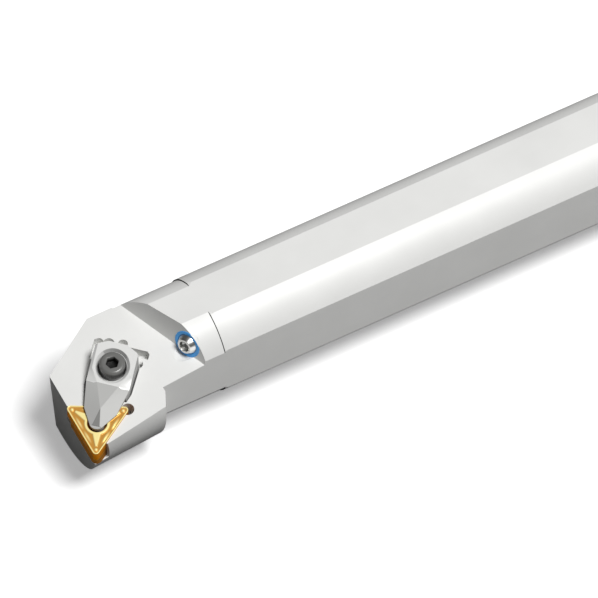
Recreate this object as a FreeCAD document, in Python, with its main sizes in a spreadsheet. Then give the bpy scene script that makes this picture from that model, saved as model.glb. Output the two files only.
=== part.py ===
import FreeCAD, Part
import math
import os
import Sketcher

# Right-hand boring bar for internal turning, with a clamped triangular insert.
# Lengths are in millimetres and angles in degrees.
# The origin is the centre of the rear end face, on the axis of the shank.
# +X runs from the head to the rear end, the cutting tip points to -Y, and +Z is up.

doc = FreeCAD.newDocument("boring_bar")

SIZES = [
    # Shank
    ("gauge_length", 300, "rear end face to the cutting tip"),
    ("shank_diameter", 40, "round shank"),
    ("clamping_height", 37, "across the top and bottom flats"),
    ("side_flat_offset", 17.5, "axis to the flat on the tip's side"),
    ("rear_chamfer", 1.5, "rear edge of the shank"),
    ("neck_diameter", 39.2, "relieved neck behind the head"),
    ("neck_end", 55.8, "cutting tip to the step up to full diameter"),
    ("step_run", 1.2, "length of the small cone at that step"),
    # Head
    ("head_length", 32, "cutting tip to the end of the head"),
    ("head_front_radius", 25, "turned head at its front"),
    ("head_rear_radius", 23, "turned head before its rear cone"),
    ("head_root_radius", 18.5, "small end of the rear cone"),
    ("head_cone", 2.6, "length of the rear cone"),
    ("head_side_shift", 1.46, "axis of the head, towards the tip's side"),
    ("head_drop", 0.6, "axis of the head, below the shank's axis"),
    ("front_setback", 0.6, "front face behind the cutting tip"),
    ("front_turn", 2.9, "front face about the vertical"),
    ("front_lean", 6.3, "front face leans back going down"),
    ("far_cut_start", 5.24, "far chamfer leaves the front face here, from the axis"),
    ("far_cut_setback", 1.85, "the same point behind the cutting tip"),
    ("far_cut_turn", 29.7, "far chamfer to the shank's axis"),
    # Tilt of the seat
    ("tip_offset", 28.66, "axis to the sharp corner of the insert"),
    ("axial_tilt", 7, "the top face falls towards the front"),
    ("radial_tilt", 10.1, "the top face falls towards the tip's side"),
    # Run-out wall behind the top face
    ("wall_distance", 48.6, "tip to the wall's foot, along the top face"),
    ("wall_side", 10.8, "the same point, across the top face"),
    ("wall_turn", 20.2, "foot of the wall to the cross direction"),
    ("wall_lean", 19.4, "wall to the normal of the top face"),
    # Insert
    ("insert_circle", 12.7, "inscribed circle"),
    ("insert_thickness", 4.76, "over the seating faces"),
    ("insert_corner", 1.2, "corner radius"),
    ("insert_hole", 5.16, "centre hole"),
    ("insert_mouth", 7, "hole chamfer at the seating face"),
    ("insert_mouth_depth", 0.9, "depth of that chamfer"),
    ("insert_lead", 2.57, "cutting edge to the cross direction"),
    ("insert_proud", 0.7, "insert above the top face of the head"),
    ("edge_land", 0.35, "flat land along the cutting edge"),
    ("breaker_depth", 0.22, "chip breaker below the land"),
    ("island_circle", 8.8, "raised middle, inscribed circle"),
    ("island_corner", 0.6, "its corner radius"),
    ("dimple_radius", 0.55, "round bump at each corner"),
    ("dimple_place", 2.75, "sharp corner to that bump"),
    # Shim
    ("shim_circle", 12.1, "inscribed circle"),
    ("shim_thickness", 4.76, "shim"),
    ("shim_corner", 1.9, "corner radius"),
    ("shim_hole", 5.6, "hole for the shim screw"),
    ("shim_sink", 7.6, "countersink on top"),
    # Insert pocket
    ("seat_gap", 0.02, "insert to the pocket walls"),
    ("corner_relief", 2.15, "radius of the round relief at the inner corner"),
    ("corner_relief_in", 1.2, "its centre inside the sharp corner"),
    ("nose_relief", 6.6, "sharp corner to the notch beside the tip"),
    ("nose_relief_run", 8, "length of the notch's side"),
    ("seat_opening", 12, "open side of the seat, beyond the insert"),
    # Shim screw
    ("shim_screw_radius", 2, "thread of the shim screw"),
    ("shim_screw_length", 11, "thread below the shim's top"),
    ("shim_screw_drive", 2.5, "hexagon socket across flats"),
    ("shim_screw_sink", 1.9, "height of its cone"),
    ("shim_screw_neck", 0.8, "slope from the cone to the thread"),
    ("cone_gap", 0.1, "cone to the shim's countersink"),
    ("thread_depth_spare", 2, "tapped hole beyond the screw"),
    # Clamp
    ("clamp_turn", -13.4, "clamp to the bisector of the insert"),
    ("clamp_screw_place", 19.4, "centre of the insert to the clamp screw"),
    ("clamp_half_width", 7.4, "half of the clamp across its middle"),
    ("clamp_tail", 26.8, "centre of the insert to the clamp's rear end"),
    ("clamp_tail_half", 3.1, "half of the flat rear end"),
    ("clamp_tail_chamfer", 1.9, "length of the cut rear corners"),
    ("clamp_cheek_half", 5.6, "half of the clamp where the nose begins"),
    ("nose_radius_clamp", 2.6, "round end of the hook"),
    ("nose_pin_radius", 2.3, "pin that enters the insert"),
    ("nose_pin_depth", 3, "pin below the insert's top"),
    ("clamp_lift_off", 0.45, "underside above the insert"),
    ("clamp_cheek_height", 1.6, "side edges there, above the top face"),
    ("clamp_side_height", 2.8, "side edges in front of the ring, above the top face"),
    ("clamp_nose_height", 1.4, "front of the hook above the top face"),
    ("clamp_nose_roof", 0.3, "roof above that"),
    ("clamp_nose_foot", 0.15, "round of the hook down to here, above the top face"),
    ("clamp_ridge_front", 3.4, "front end of the roof above the top face"),
    ("clamp_ridge_place", 4.2, "place of that point"),
    ("clamp_ridge_half", 0.05, "half width of the roof there"),
    ("clamp_roof_half", 3.7, "half width of the roof at the ring"),
    ("clamp_roof_rise", 3.45, "roof in front of the ring, above the top face"),
    ("clamp_top", 8.3, "rear end of the ring's slope above the top face"),
    ("clamp_ring_front", 13.4, "where the roof meets the ring's slope"),
    ("clamp_ring_wide", 17.5, "where that slope reaches its full width"),
    ("clamp_bevel", 0.9, "bevel along the slope's sides"),
    ("clamp_bevel_slope", 0.7, "how far it falls, to its width"),
    ("clamp_bore", 9.6, "counterbore for the screw head"),
    ("clamp_rim", 1.1, "chamfer round the counterbore"),
    ("clamp_floor", 3, "floor of the counterbore above the top face"),
    # Clamp pocket
    ("clamp_pocket_depth", 4, "pocket below the top face"),
    ("clamp_pocket_front", 10.2, "front wall of the pocket"),
    ("clamp_pocket_rear", 30.3, "rear wall"),
    ("clamp_pocket_half", 8.1, "half of its width"),
    ("pocket_throat", 0.9, "it narrows by this on each side, towards the insert"),
    ("left_ear", 1.2, "wider part of the pocket on the far side"),
    ("left_ear_length", 7, "length of that part"),
    ("right_ear", 1.8, "wider part of the pocket on the tip's side"),
    ("right_ear_length", 2.9, "length of that part"),
    ("clamp_front_gap", 0.8, "clamp body behind the front wall"),
    ("clamp_float", 0.8, "clamp above the pocket floor"),
    ("clamp_foot", 3, "length of the foot under the tail"),
    ("clamp_overlap", 0.3, "blocks of the clamp into one another"),
    ("ear_corner", 0.9, "cut corner of the right ear"),
    ("left_ear_run", 0.8, "slope at the front of the left ear"),
    ("relief_radius", 1.7, "round reliefs of the pocket's rear wall"),
    ("relief_spread", 4.6, "distance between the middle ones"),
    ("relief_middle", 4.3, "the first of them, from the clamp's middle line"),
    ("relief_in", 0.8, "the outer ones inside the walls"),
    ("relief_back", 0.4, "middle ones about the rear wall"),
    ("front_relief", 5.3, "rear wall to the relief on the tip's side"),
    # Clamp screw
    ("screw_radius", 2.5, "thread"),
    ("screw_clear", 0.25, "hole in the clamp, on the radius"),
    ("screw_head_radius", 4.4, "head"),
    ("screw_head_height", 5, "head"),
    ("screw_head_chamfer", 0.9, "rounded edge of the head"),
    ("screw_drive", 4, "hexagon socket across flats"),
    ("screw_drive_depth", 3, "hexagon socket"),
    ("screw_length", 17, "shaft below the head"),
    ("screw_end", 0.5, "chamfer at the end of the thread"),
    ("screw_gap", 0.02, "thread to its tapped hole, on the radius"),
    ("screw_seat_gap", 0.02, "underside of the head above its seat"),
    # Lifting spring
    ("spring_wire", 0.8, "wire diameter"),
    ("spring_radius", 3.6, "centre of the wire"),
    ("spring_turns", 3, "turns"),
    ("spring_seat_depth", 5, "recess below the pocket floor"),
    ("spring_seat_gap", 0.35, "spring to the recess, on the radius"),
    # Coolant
    ("coolant_bore", 9, "bore along the shank's axis"),
    ("coolant_reach", 66, "cutting tip to the end of that bore"),
    ("inlet_bore", 11.8, "tapped inlet in the rear face"),
    ("inlet_depth", 17, "inlet"),
    ("feed_bore", 5.5, "drilling from the nozzle to the bore"),
    ("feed_length", 36, "length of that drilling"),
    ("nozzle_place_up", 3.3, "nozzle above the top face, at the wall"),
    ("nozzle_place_side", 8.75, "nozzle along the foot of the wall"),
    ("nozzle_diameter", 7.3, "nozzle body"),
    ("nozzle_depth", 9, "nozzle body inside the wall"),
    ("nozzle_stand", 1.75, "tip out of the wall"),
    ("nozzle_tip", 5.2, "face of the tip"),
    ("nozzle_jet", 3.8, "jet hole"),
    ("nozzle_gap", 0.02, "nozzle to its bore, on the radius"),
    ("ring_diameter", 10, "seal ring, outside"),
    ("ring_bore", 7.5, "seal ring, inside"),
    ("ring_depth", 1, "recess of the seal ring"),
    ("ring_stand", 0.15, "ring out of the wall"),
    ("ring_edge", 0.25, "chamfer of the ring, and of the jet hole"),
    ("spot_face_reach", 12, "clearance in front of the nozzle"),
]

sheet = doc.addObject("Spreadsheet::Sheet", "sizes")
for row, (alias, value, note) in enumerate(SIZES, start=1):
    sheet.set("A%d" % row, alias)
    sheet.set("B%d" % row, str(value))
    sheet.set("C%d" % row, note)
    sheet.setAlias("B%d" % row, alias)
doc.recompute()

HALF_TURN = 180
WIRE_SIDES = 6
BLOCK = "(shank_diameter * 2)"


def size(text):
    """Work out an expression of sheet values as a plain number."""
    return float(sheet.evalExpression(text))


def linked(text):
    """Put the sheet's name before each alias in an expression."""
    aliases = {alias for alias, value, note in SIZES}
    words = []
    word = ""
    for letter in text + " ":
        if letter.isalnum() or letter == "_":
            word += letter
            continue
        words.append("sizes." + word if word in aliases else word)
        words.append(letter)
        word = ""
    return "".join(words).strip()


def frame(name, text, parent=None):
    """Add a coordinate system, placed by an expression in its parent's frame."""
    system = doc.addObject("App::LocalCoordinateSystem", name)
    place = linked(text)
    if parent:
        place = parent + ".Placement * " + place
    system.setExpression("Placement", place)
    doc.recompute()
    return system


# The seat's frames: at the sharp tip, at the insert's centre, along the clamp.
frame("TipFrame", "placement(vector(-gauge_length; -tip_offset; 0);"
      " rotation(0; -axial_tilt; radial_tilt))")
frame("InsertFrame", "placement(vector(insert_circle * cos(60 - insert_lead);"
      " insert_circle * sin(60 - insert_lead); 0); rotation(60 - insert_lead; 0; 0))",
      "TipFrame")
frame("ClampFrame", "placement(vector(0; 0; -insert_proud); rotation(clamp_turn; 0; 0))",
      "InsertFrame")
frame("WallFrame", "placement(vector(wall_distance; wall_side; -insert_proud);"
      " rotation(wall_turn; 0; 0))", "TipFrame")
frame("NozzleFrame", "placement(vector(nozzle_place_up * tan(wall_lean); nozzle_place_side;"
      " nozzle_place_up); rotation(0; wall_lean - 90; 0))", "WallFrame")
frame("FrontFrame", "placement(vector(front_setback - gauge_length; -tip_offset; 0);"
      " rotation(-front_turn; -front_lean; 0))")
frame("FarFrame", "placement(vector(far_cut_setback - gauge_length; far_cut_start; 0);"
      " rotation(far_cut_turn; 0; 0))")

UPRIGHT = "placement(vector(0; 0; 0); rotation(0; 0; 90))"
CROSSWISE = "placement(vector(0; 0; 0); rotation(90; 0; 90))"


def body(name, base=None):
    """Start a body, standing in one of the frames."""
    made = doc.addObject("PartDesign::Body", name)
    made.Label = name
    if base:
        made.setExpression("Placement", base + ".Placement")
    return made


def sketch(owner, name, place=None):
    """Add a sketch to a body, on its XY plane or on a placed plane."""
    made = owner.newObject("Sketcher::SketchObject", name)
    if place:
        made.setExpression("Placement", linked(place))
    return made


def bind(owner, constraint, text):
    """Bind one constraint to the sheet, unless it is a plain zero."""
    if text != "0":
        owner.setExpression("Constraints[%d]" % constraint, linked(text))


def polygon(owner, points, bend=None):
    """Draw a closed outline whose corners are bound to the sheet.

    With a bend, the first side is an arc of that radius about the origin.
    """
    first = owner.GeometryCount
    count = len(points)
    corners = [FreeCAD.Vector(size(across), size(up), 0) for across, up in points]
    for index in range(count):
        following = corners[(index + 1) % count]
        side = Part.LineSegment(corners[index], following)
        if bend and index == 0:
            middle = (corners[0] + following).normalize() * size(bend)
            side = Part.Arc(corners[0], middle, following)
        owner.addGeometry(side, False)
    for index in range(count):
        following = first + (index + 1) % count
        owner.addConstraint(Sketcher.Constraint("Coincident", first + index, 2, following, 1))
    for index, (across, up) in enumerate(points):
        for kind, text, value in (("DistanceX", across, corners[index].x),
                                  ("DistanceY", up, corners[index].y)):
            made = owner.addConstraint(
                Sketcher.Constraint(kind, -1, 1, first + index, 1, value))
            bind(owner, made, text)
    if bend:
        made = owner.addConstraint(Sketcher.Constraint("Radius", first, size(bend)))
        bind(owner, made, bend)


def circle(owner, across, up, radius):
    """Draw a circle whose centre and radius are bound to the sheet."""
    centre = FreeCAD.Vector(size(across), size(up), 0)
    shape = Part.Circle(centre, FreeCAD.Vector(0, 0, 1), size(radius))
    index = owner.addGeometry(shape, False)
    for kind, text, value in (("DistanceX", across, centre.x), ("DistanceY", up, centre.y)):
        made = owner.addConstraint(Sketcher.Constraint(kind, -1, 1, index, 3, value))
        bind(owner, made, text)
    made = owner.addConstraint(Sketcher.Constraint("Radius", index, size(radius)))
    bind(owner, made, radius)


def hexagon(owner, across_flats):
    """Draw a hexagon about the origin, with corners on the X axis."""
    points = []
    for corner in range(6):
        turn = str(60 * corner)
        reach = "(%s) / 2 / cos(30)" % across_flats
        points.append(("%s * cos(%s)" % (reach, turn), "%s * sin(%s)" % (reach, turn)))
    polygon(owner, points)


def triangle(owner, inscribed, corner):
    """Draw a rounded equilateral triangle about the origin, one corner at -X."""
    first = owner.GeometryCount
    ends = []
    for turn in (HALF_TURN, HALF_TURN + 120, HALF_TURN + 240):
        middle = "(%s - 2 * (%s))" % (inscribed, corner)
        for side in (-60, 60):
            ends.append((
                "%s * cos(%d) + (%s) * cos(%d)" % (middle, turn, corner, turn + side),
                "%s * sin(%d) + (%s) * sin(%d)" % (middle, turn, corner, turn + side)))
    spots = [FreeCAD.Vector(size(across), size(up), 0) for across, up in ends]
    for number in range(3):
        start, stop = spots[2 * number], spots[2 * number + 1]
        turn = math.radians(HALF_TURN + 120 * number)
        reach = size("%s - 2 * (%s)" % (inscribed, corner)) + size(corner)
        top = FreeCAD.Vector(reach * math.cos(turn), reach * math.sin(turn), 0)
        owner.addGeometry(Part.Arc(start, top, stop), False)
    for number in range(3):
        start, stop = spots[2 * number + 1], spots[(2 * number + 2) % 6]
        owner.addGeometry(Part.LineSegment(start, stop), False)
    for number in range(3):
        arc, line = first + number, first + 3 + number
        following = first + (number + 1) % 3
        for place, point, text_pair in ((1, spots[2 * number + 1], ends[2 * number + 1]),
                                        (2, spots[(2 * number + 2) % 6],
                                         ends[(2 * number + 2) % 6])):
            for kind, value, text in (("DistanceX", point.x, text_pair[0]),
                                      ("DistanceY", point.y, text_pair[1])):
                made = owner.addConstraint(
                    Sketcher.Constraint(kind, -1, 1, line, place, value))
                bind(owner, made, text)
        owner.addConstraint(Sketcher.Constraint("Coincident", arc, 2, line, 1))
        owner.addConstraint(Sketcher.Constraint("Coincident", line, 2, following, 1))
        made = owner.addConstraint(Sketcher.Constraint("Radius", arc, size(corner)))
        bind(owner, made, corner)


def pad(owner, name, profile, length, reverse=False):
    """Extrude a sketch along its normal, or against it."""
    made = owner.newObject("PartDesign::Pad", name)
    made.Profile = profile
    made.setExpression("Length", linked(length))
    made.Reversed = reverse
    doc.recompute()
    return made


def pocket(owner, name, profile, length, reverse=False, both=False):
    """Cut a sketch against its normal, along it, or half to each side."""
    made = owner.newObject("PartDesign::Pocket", name)
    made.Profile = profile
    made.Reversed = reverse
    made.Midplane = both
    made.setExpression("Length", linked(length))
    doc.recompute()
    check_cut(made)
    return made


def check_cut(made):
    """Stop if a cut took nothing away."""
    base = made.BaseFeature
    if base is not None and made.Shape.Volume >= base.Shape.Volume - 1e-6:
        raise RuntimeError(made.Name + " cuts nothing")


def revolve(owner, name, profile, cut=False, axis="V_Axis"):
    """Turn a profile about an axis of its own sketch."""
    kind = "PartDesign::Groove" if cut else "PartDesign::Revolution"
    made = owner.newObject(kind, name)
    made.Profile = profile
    made.ReferenceAxis = (profile, [axis])
    made.Angle = 360
    doc.recompute()
    if cut:
        check_cut(made)
    return made


def build_bar():
    """The bar: turned shank and head, milled flats, seat, pockets and drillings."""
    bar = body("bar")

    shank = sketch(bar, "shank_profile", UPRIGHT)
    polygon(shank, [
        ("0", "0"),
        ("0", "shank_diameter / 2 - rear_chamfer"),
        ("-rear_chamfer", "shank_diameter / 2"),
        ("neck_end + step_run - gauge_length", "shank_diameter / 2"),
        ("neck_end - gauge_length", "neck_diameter / 2"),
        ("head_length - gauge_length", "neck_diameter / 2"),
        ("head_length - gauge_length", "shank_diameter / 2"),
        ("head_length - head_cone - gauge_length", "shank_diameter / 2"),
        ("head_length - head_cone - gauge_length", "0"),
    ])
    revolve(bar, "shank", shank, axis="H_Axis")

    # Flats run from the rear end to the head.
    flats = sketch(bar, "flats_outline", CROSSWISE)
    top = "clamping_height / 2"
    for low, high in ((top, "shank_diameter"), ("-shank_diameter", "-" + top)):
        polygon(flats, [
            ("-shank_diameter", low),
            ("shank_diameter", low),
            ("shank_diameter", high),
            ("-shank_diameter", high),
        ])
    pocket(bar, "top_and_bottom_flats", flats, "gauge_length")
    side = sketch(bar, "side_flat_outline", CROSSWISE)
    polygon(side, [
        ("-shank_diameter", "-shank_diameter"),
        ("-side_flat_offset", "-shank_diameter"),
        ("-side_flat_offset", "shank_diameter"),
        ("-shank_diameter", "shank_diameter"),
    ])
    pocket(bar, "side_flat", side, "gauge_length")

    # The head is turned about its own axis, with a cone at its rear.
    head = sketch(bar, "head_profile",
                  "placement(vector(-gauge_length; -head_side_shift; -head_drop);"
                  " rotation(0; 0; 90))")
    polygon(head, [
        ("0", "0"),
        ("0", "head_front_radius"),
        ("head_length - head_cone", "head_rear_radius"),
        ("head_length", "head_root_radius"),
        ("head_length", "0"),
    ])
    revolve(bar, "head", head, axis="H_Axis")

    # On its far side the head keeps the round of the shank.
    far = sketch(bar, "far_round_outline",
                 "placement(vector(head_length - gauge_length; 0; 0); rotation(90; 0; 90))")
    polygon(far, [
        ("shank_diameter / 2", "0"),
        ("0", "shank_diameter / 2"),
        ("0", "shank_diameter"),
        ("shank_diameter", "shank_diameter"),
        ("shank_diameter", "-shank_diameter"),
        ("shank_diameter / 2", "-shank_diameter"),
    ], "shank_diameter / 2")
    pocket(bar, "far_round", far, "head_length")

    # Everything above the tilted top face goes, back to the run-out wall.
    runout = sketch(bar, "runout_outline",
                    "WallFrame.Placement * " + UPRIGHT)
    polygon(runout, [
        ("0", "0"),
        (BLOCK + " * tan(wall_lean)", BLOCK),
        ("-" + BLOCK, BLOCK),
        ("-" + BLOCK, "0"),
    ])
    pocket(bar, "top_face", runout, BLOCK + " * 2", both=True)

    front = sketch(bar, "front_outline", "FrontFrame.Placement * " + CROSSWISE)
    polygon(front, [
        ("-" + BLOCK, "-" + BLOCK),
        (BLOCK, "-" + BLOCK),
        (BLOCK, BLOCK),
        ("-" + BLOCK, BLOCK),
    ])
    pocket(bar, "front_face", front, BLOCK)

    chamfer = sketch(bar, "far_chamfer_outline", "FarFrame.Placement")
    polygon(chamfer, [
        ("-" + BLOCK, "0"),
        (BLOCK, "0"),
        (BLOCK, BLOCK),
        ("-" + BLOCK, BLOCK),
    ])
    pocket(bar, "far_chamfer", chamfer, BLOCK + " * 2", both=True)

    cut_insert_pocket(bar)
    cut_clamp_pocket(bar)
    cut_coolant(bar)
    return bar


def cut_insert_pocket(bar):
    """Seat for the shim and insert: two walls, open at the front."""
    reach = "(insert_circle + 2 * seat_gap)"
    seat = sketch(bar, "seat_outline", "InsertFrame.Placement")
    polygon(seat, [
        (reach + " / 2", "-%s * sin(60)" % reach),
        ("nose_relief * cos(30) - " + reach, "-nose_relief / 2"),
        ("nose_relief * cos(30) - %s - nose_relief_run * sin(30)" % reach,
         "-nose_relief / 2 - nose_relief_run * cos(30)"),
        ("-%s - seat_opening" % reach, "-nose_relief_run"),
        ("-%s - seat_opening" % reach, "nose_relief_run"),
        (reach + " / 2", reach + " * sin(60) + seat_opening"),
    ])
    depth = "insert_thickness + shim_thickness"
    pocket(bar, "insert_seat", seat, depth)
    relief = sketch(bar, "corner_relief_outline", "InsertFrame.Placement")
    circle(relief, "insert_circle / 2 - corner_relief_in * cos(60)",
           "corner_relief_in * sin(60) - insert_circle * sin(60)", "corner_relief")
    pocket(bar, "corner_relief", relief, depth)
    tapped = sketch(bar, "shim_thread_outline", "InsertFrame.Placement")
    circle(tapped, "0", "0", "shim_screw_radius + screw_gap")
    pocket(bar, "shim_thread", tapped,
           "insert_thickness + shim_screw_length + thread_depth_spare")


def cut_clamp_pocket(bar):
    """Pocket that guides the clamp's tail, with its tapped hole."""
    slot = sketch(bar, "clamp_slot_outline", "ClampFrame.Placement")
    rear = "clamp_pocket_rear"
    polygon(slot, [
        ("clamp_pocket_front", "pocket_throat - clamp_pocket_half"),
        ("clamp_ring_front", "-clamp_pocket_half"),
        (rear + " - right_ear_length", "-clamp_pocket_half"),
        (rear + " - right_ear_length", "-clamp_pocket_half - right_ear"),
        (rear + " - ear_corner", "-clamp_pocket_half - right_ear"),
        (rear, "-clamp_pocket_half - right_ear + ear_corner"),
        (rear, "clamp_pocket_half + left_ear"),
        (rear + " - left_ear_length", "clamp_pocket_half + left_ear"),
        (rear + " - left_ear_length - left_ear_run", "clamp_pocket_half"),
        ("clamp_ring_front", "clamp_pocket_half"),
        ("clamp_pocket_front", "clamp_pocket_half - pocket_throat"),
    ])
    pocket(bar, "clamp_slot", slot, "clamp_pocket_depth")
    reliefs = (
        (rear + " - relief_radius + relief_in", "clamp_pocket_half + left_ear - relief_radius",
         "relief_radius"),
        (rear + " - relief_back", "relief_middle", "relief_radius * 1.18"),
        (rear + " + relief_back * 1.5", "relief_middle - relief_spread", "relief_radius"),
        (rear + " - front_relief", "relief_in - clamp_pocket_half", "relief_radius * 0.88"),
    )
    for index, (across, up, radius) in enumerate(reliefs):
        made = sketch(bar, "slot_relief_outline_%d" % index, "ClampFrame.Placement")
        circle(made, across, up, radius)
        pocket(bar, "slot_relief_%d" % index, made, "clamp_pocket_depth")
    spring_seat = sketch(bar, "spring_seat_outline", "ClampFrame.Placement")
    circle(spring_seat, "clamp_screw_place", "0",
           "spring_radius + spring_wire / 2 + spring_seat_gap")
    pocket(bar, "spring_seat", spring_seat, "clamp_pocket_depth + spring_seat_depth")
    tapped = sketch(bar, "clamp_thread_outline", "ClampFrame.Placement")
    circle(tapped, "clamp_screw_place", "0", "screw_radius + screw_gap")
    pocket(bar, "clamp_thread", tapped, "screw_length - clamp_floor + thread_depth_spare")


def cut_coolant(bar):
    """Coolant way from the rear face to the nozzle in the run-out wall."""
    end = "placement(vector(0; 0; 0); rotation(90; 0; 90))"
    inlet = sketch(bar, "inlet_outline", end)
    circle(inlet, "0", "0", "inlet_bore / 2")
    pocket(bar, "inlet", inlet, "inlet_depth")
    bore = sketch(bar, "coolant_bore_outline", end)
    circle(bore, "0", "0", "coolant_bore / 2")
    pocket(bar, "coolant_way", bore, "gauge_length - coolant_reach")
    feed = sketch(bar, "feed_outline", "NozzleFrame.Placement")
    circle(feed, "0", "0", "feed_bore / 2")
    pocket(bar, "feed", feed, "feed_length")
    seat = sketch(bar, "nozzle_seat_outline", "NozzleFrame.Placement")
    circle(seat, "0", "0", "nozzle_diameter / 2 + nozzle_gap")
    pocket(bar, "nozzle_seat", seat, "nozzle_depth")
    recess = sketch(bar, "ring_recess_outline",
                    "NozzleFrame.Placement * "
                    "placement(vector(0; 0; -ring_depth); rotation(0; 0; 0))")
    circle(recess, "0", "0", "ring_diameter / 2")
    pocket(bar, "ring_recess", recess, "spot_face_reach + ring_depth", reverse=True)


def build_insert():
    """The insert: rounded triangle, centre hole, chip breaker on both faces."""
    insert = body("insert", "InsertFrame")
    outline = sketch(insert, "insert_outline")
    triangle(outline, "insert_circle", "insert_corner")
    pad(insert, "insert_block", outline, "insert_thickness", reverse=True)

    under_face = "placement(vector(0; 0; -insert_thickness); rotation(0; 0; 0))"
    for name, place, upwards in (("top", None, False), ("under", under_face, True)):
        groove = sketch(insert, "breaker_outline_" + name, place)
        triangle(groove, "insert_circle - 2 * edge_land", "insert_corner - edge_land")
        triangle(groove, "island_circle", "island_corner")
        pocket(insert, "breaker_" + name, groove, "breaker_depth", reverse=upwards)

    bumps = sketch(insert, "dimple_outline",
                   "placement(vector(0; 0; -breaker_depth); rotation(0; 0; 0))")
    for turn in (HALF_TURN, HALF_TURN + 120, HALF_TURN + 240):
        reach = "(insert_circle - dimple_place)"
        circle(bumps, "%s * cos(%d)" % (reach, turn), "%s * sin(%d)" % (reach, turn),
               "dimple_radius")
    pad(insert, "dimples", bumps, "breaker_depth")

    hole = sketch(insert, "insert_hole_profile", UPRIGHT)
    polygon(hole, [
        ("0", "0"),
        ("insert_mouth / 2", "0"),
        ("insert_hole / 2", "-insert_mouth_depth"),
        ("insert_hole / 2", "insert_mouth_depth - insert_thickness"),
        ("insert_mouth / 2", "-insert_thickness"),
        ("0", "-insert_thickness"),
    ])
    revolve(insert, "insert_hole", hole, cut=True)


def build_shim():
    """The carbide shim under the insert."""
    shim = body("shim")
    shim.setExpression("Placement", "InsertFrame.Placement * " + linked(
        "placement(vector(0; 0; -insert_thickness); rotation(0; 0; 0))"))
    outline = sketch(shim, "shim_outline")
    triangle(outline, "shim_circle", "shim_corner")
    pad(shim, "shim_block", outline, "shim_thickness", reverse=True)
    hole = sketch(shim, "shim_hole_profile", UPRIGHT)
    polygon(hole, [
        ("0", "0"),
        ("shim_sink / 2", "0"),
        ("shim_hole / 2", "-shim_screw_sink"),
        ("shim_hole / 2", "-shim_thickness"),
        ("0", "-shim_thickness"),
    ])
    revolve(shim, "shim_hole_cut", hole, cut=True)


def build_shim_screw():
    """Countersunk screw that holds the shim."""
    screw = body("shim_screw")
    screw.setExpression("Placement", "InsertFrame.Placement * " + linked(
        "placement(vector(0; 0; -insert_thickness); rotation(0; 0; 0))"))
    profile = sketch(screw, "shim_screw_profile", UPRIGHT)
    polygon(profile, [
        ("0", "-cone_gap"),
        ("shim_sink / 2 - cone_gap", "-cone_gap"),
        ("shim_hole / 2 - cone_gap", "-shim_screw_sink - screw_gap"),
        ("shim_screw_radius", "-shim_screw_sink - shim_screw_neck"),
        ("shim_screw_radius", "-shim_screw_length"),
        ("0", "-shim_screw_length"),
    ])
    revolve(screw, "shim_screw_turned", profile)
    drive = sketch(screw, "shim_screw_drive_outline")
    hexagon(drive, "shim_screw_drive")
    pocket(screw, "shim_screw_socket", drive, "shim_screw_sink")


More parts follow.
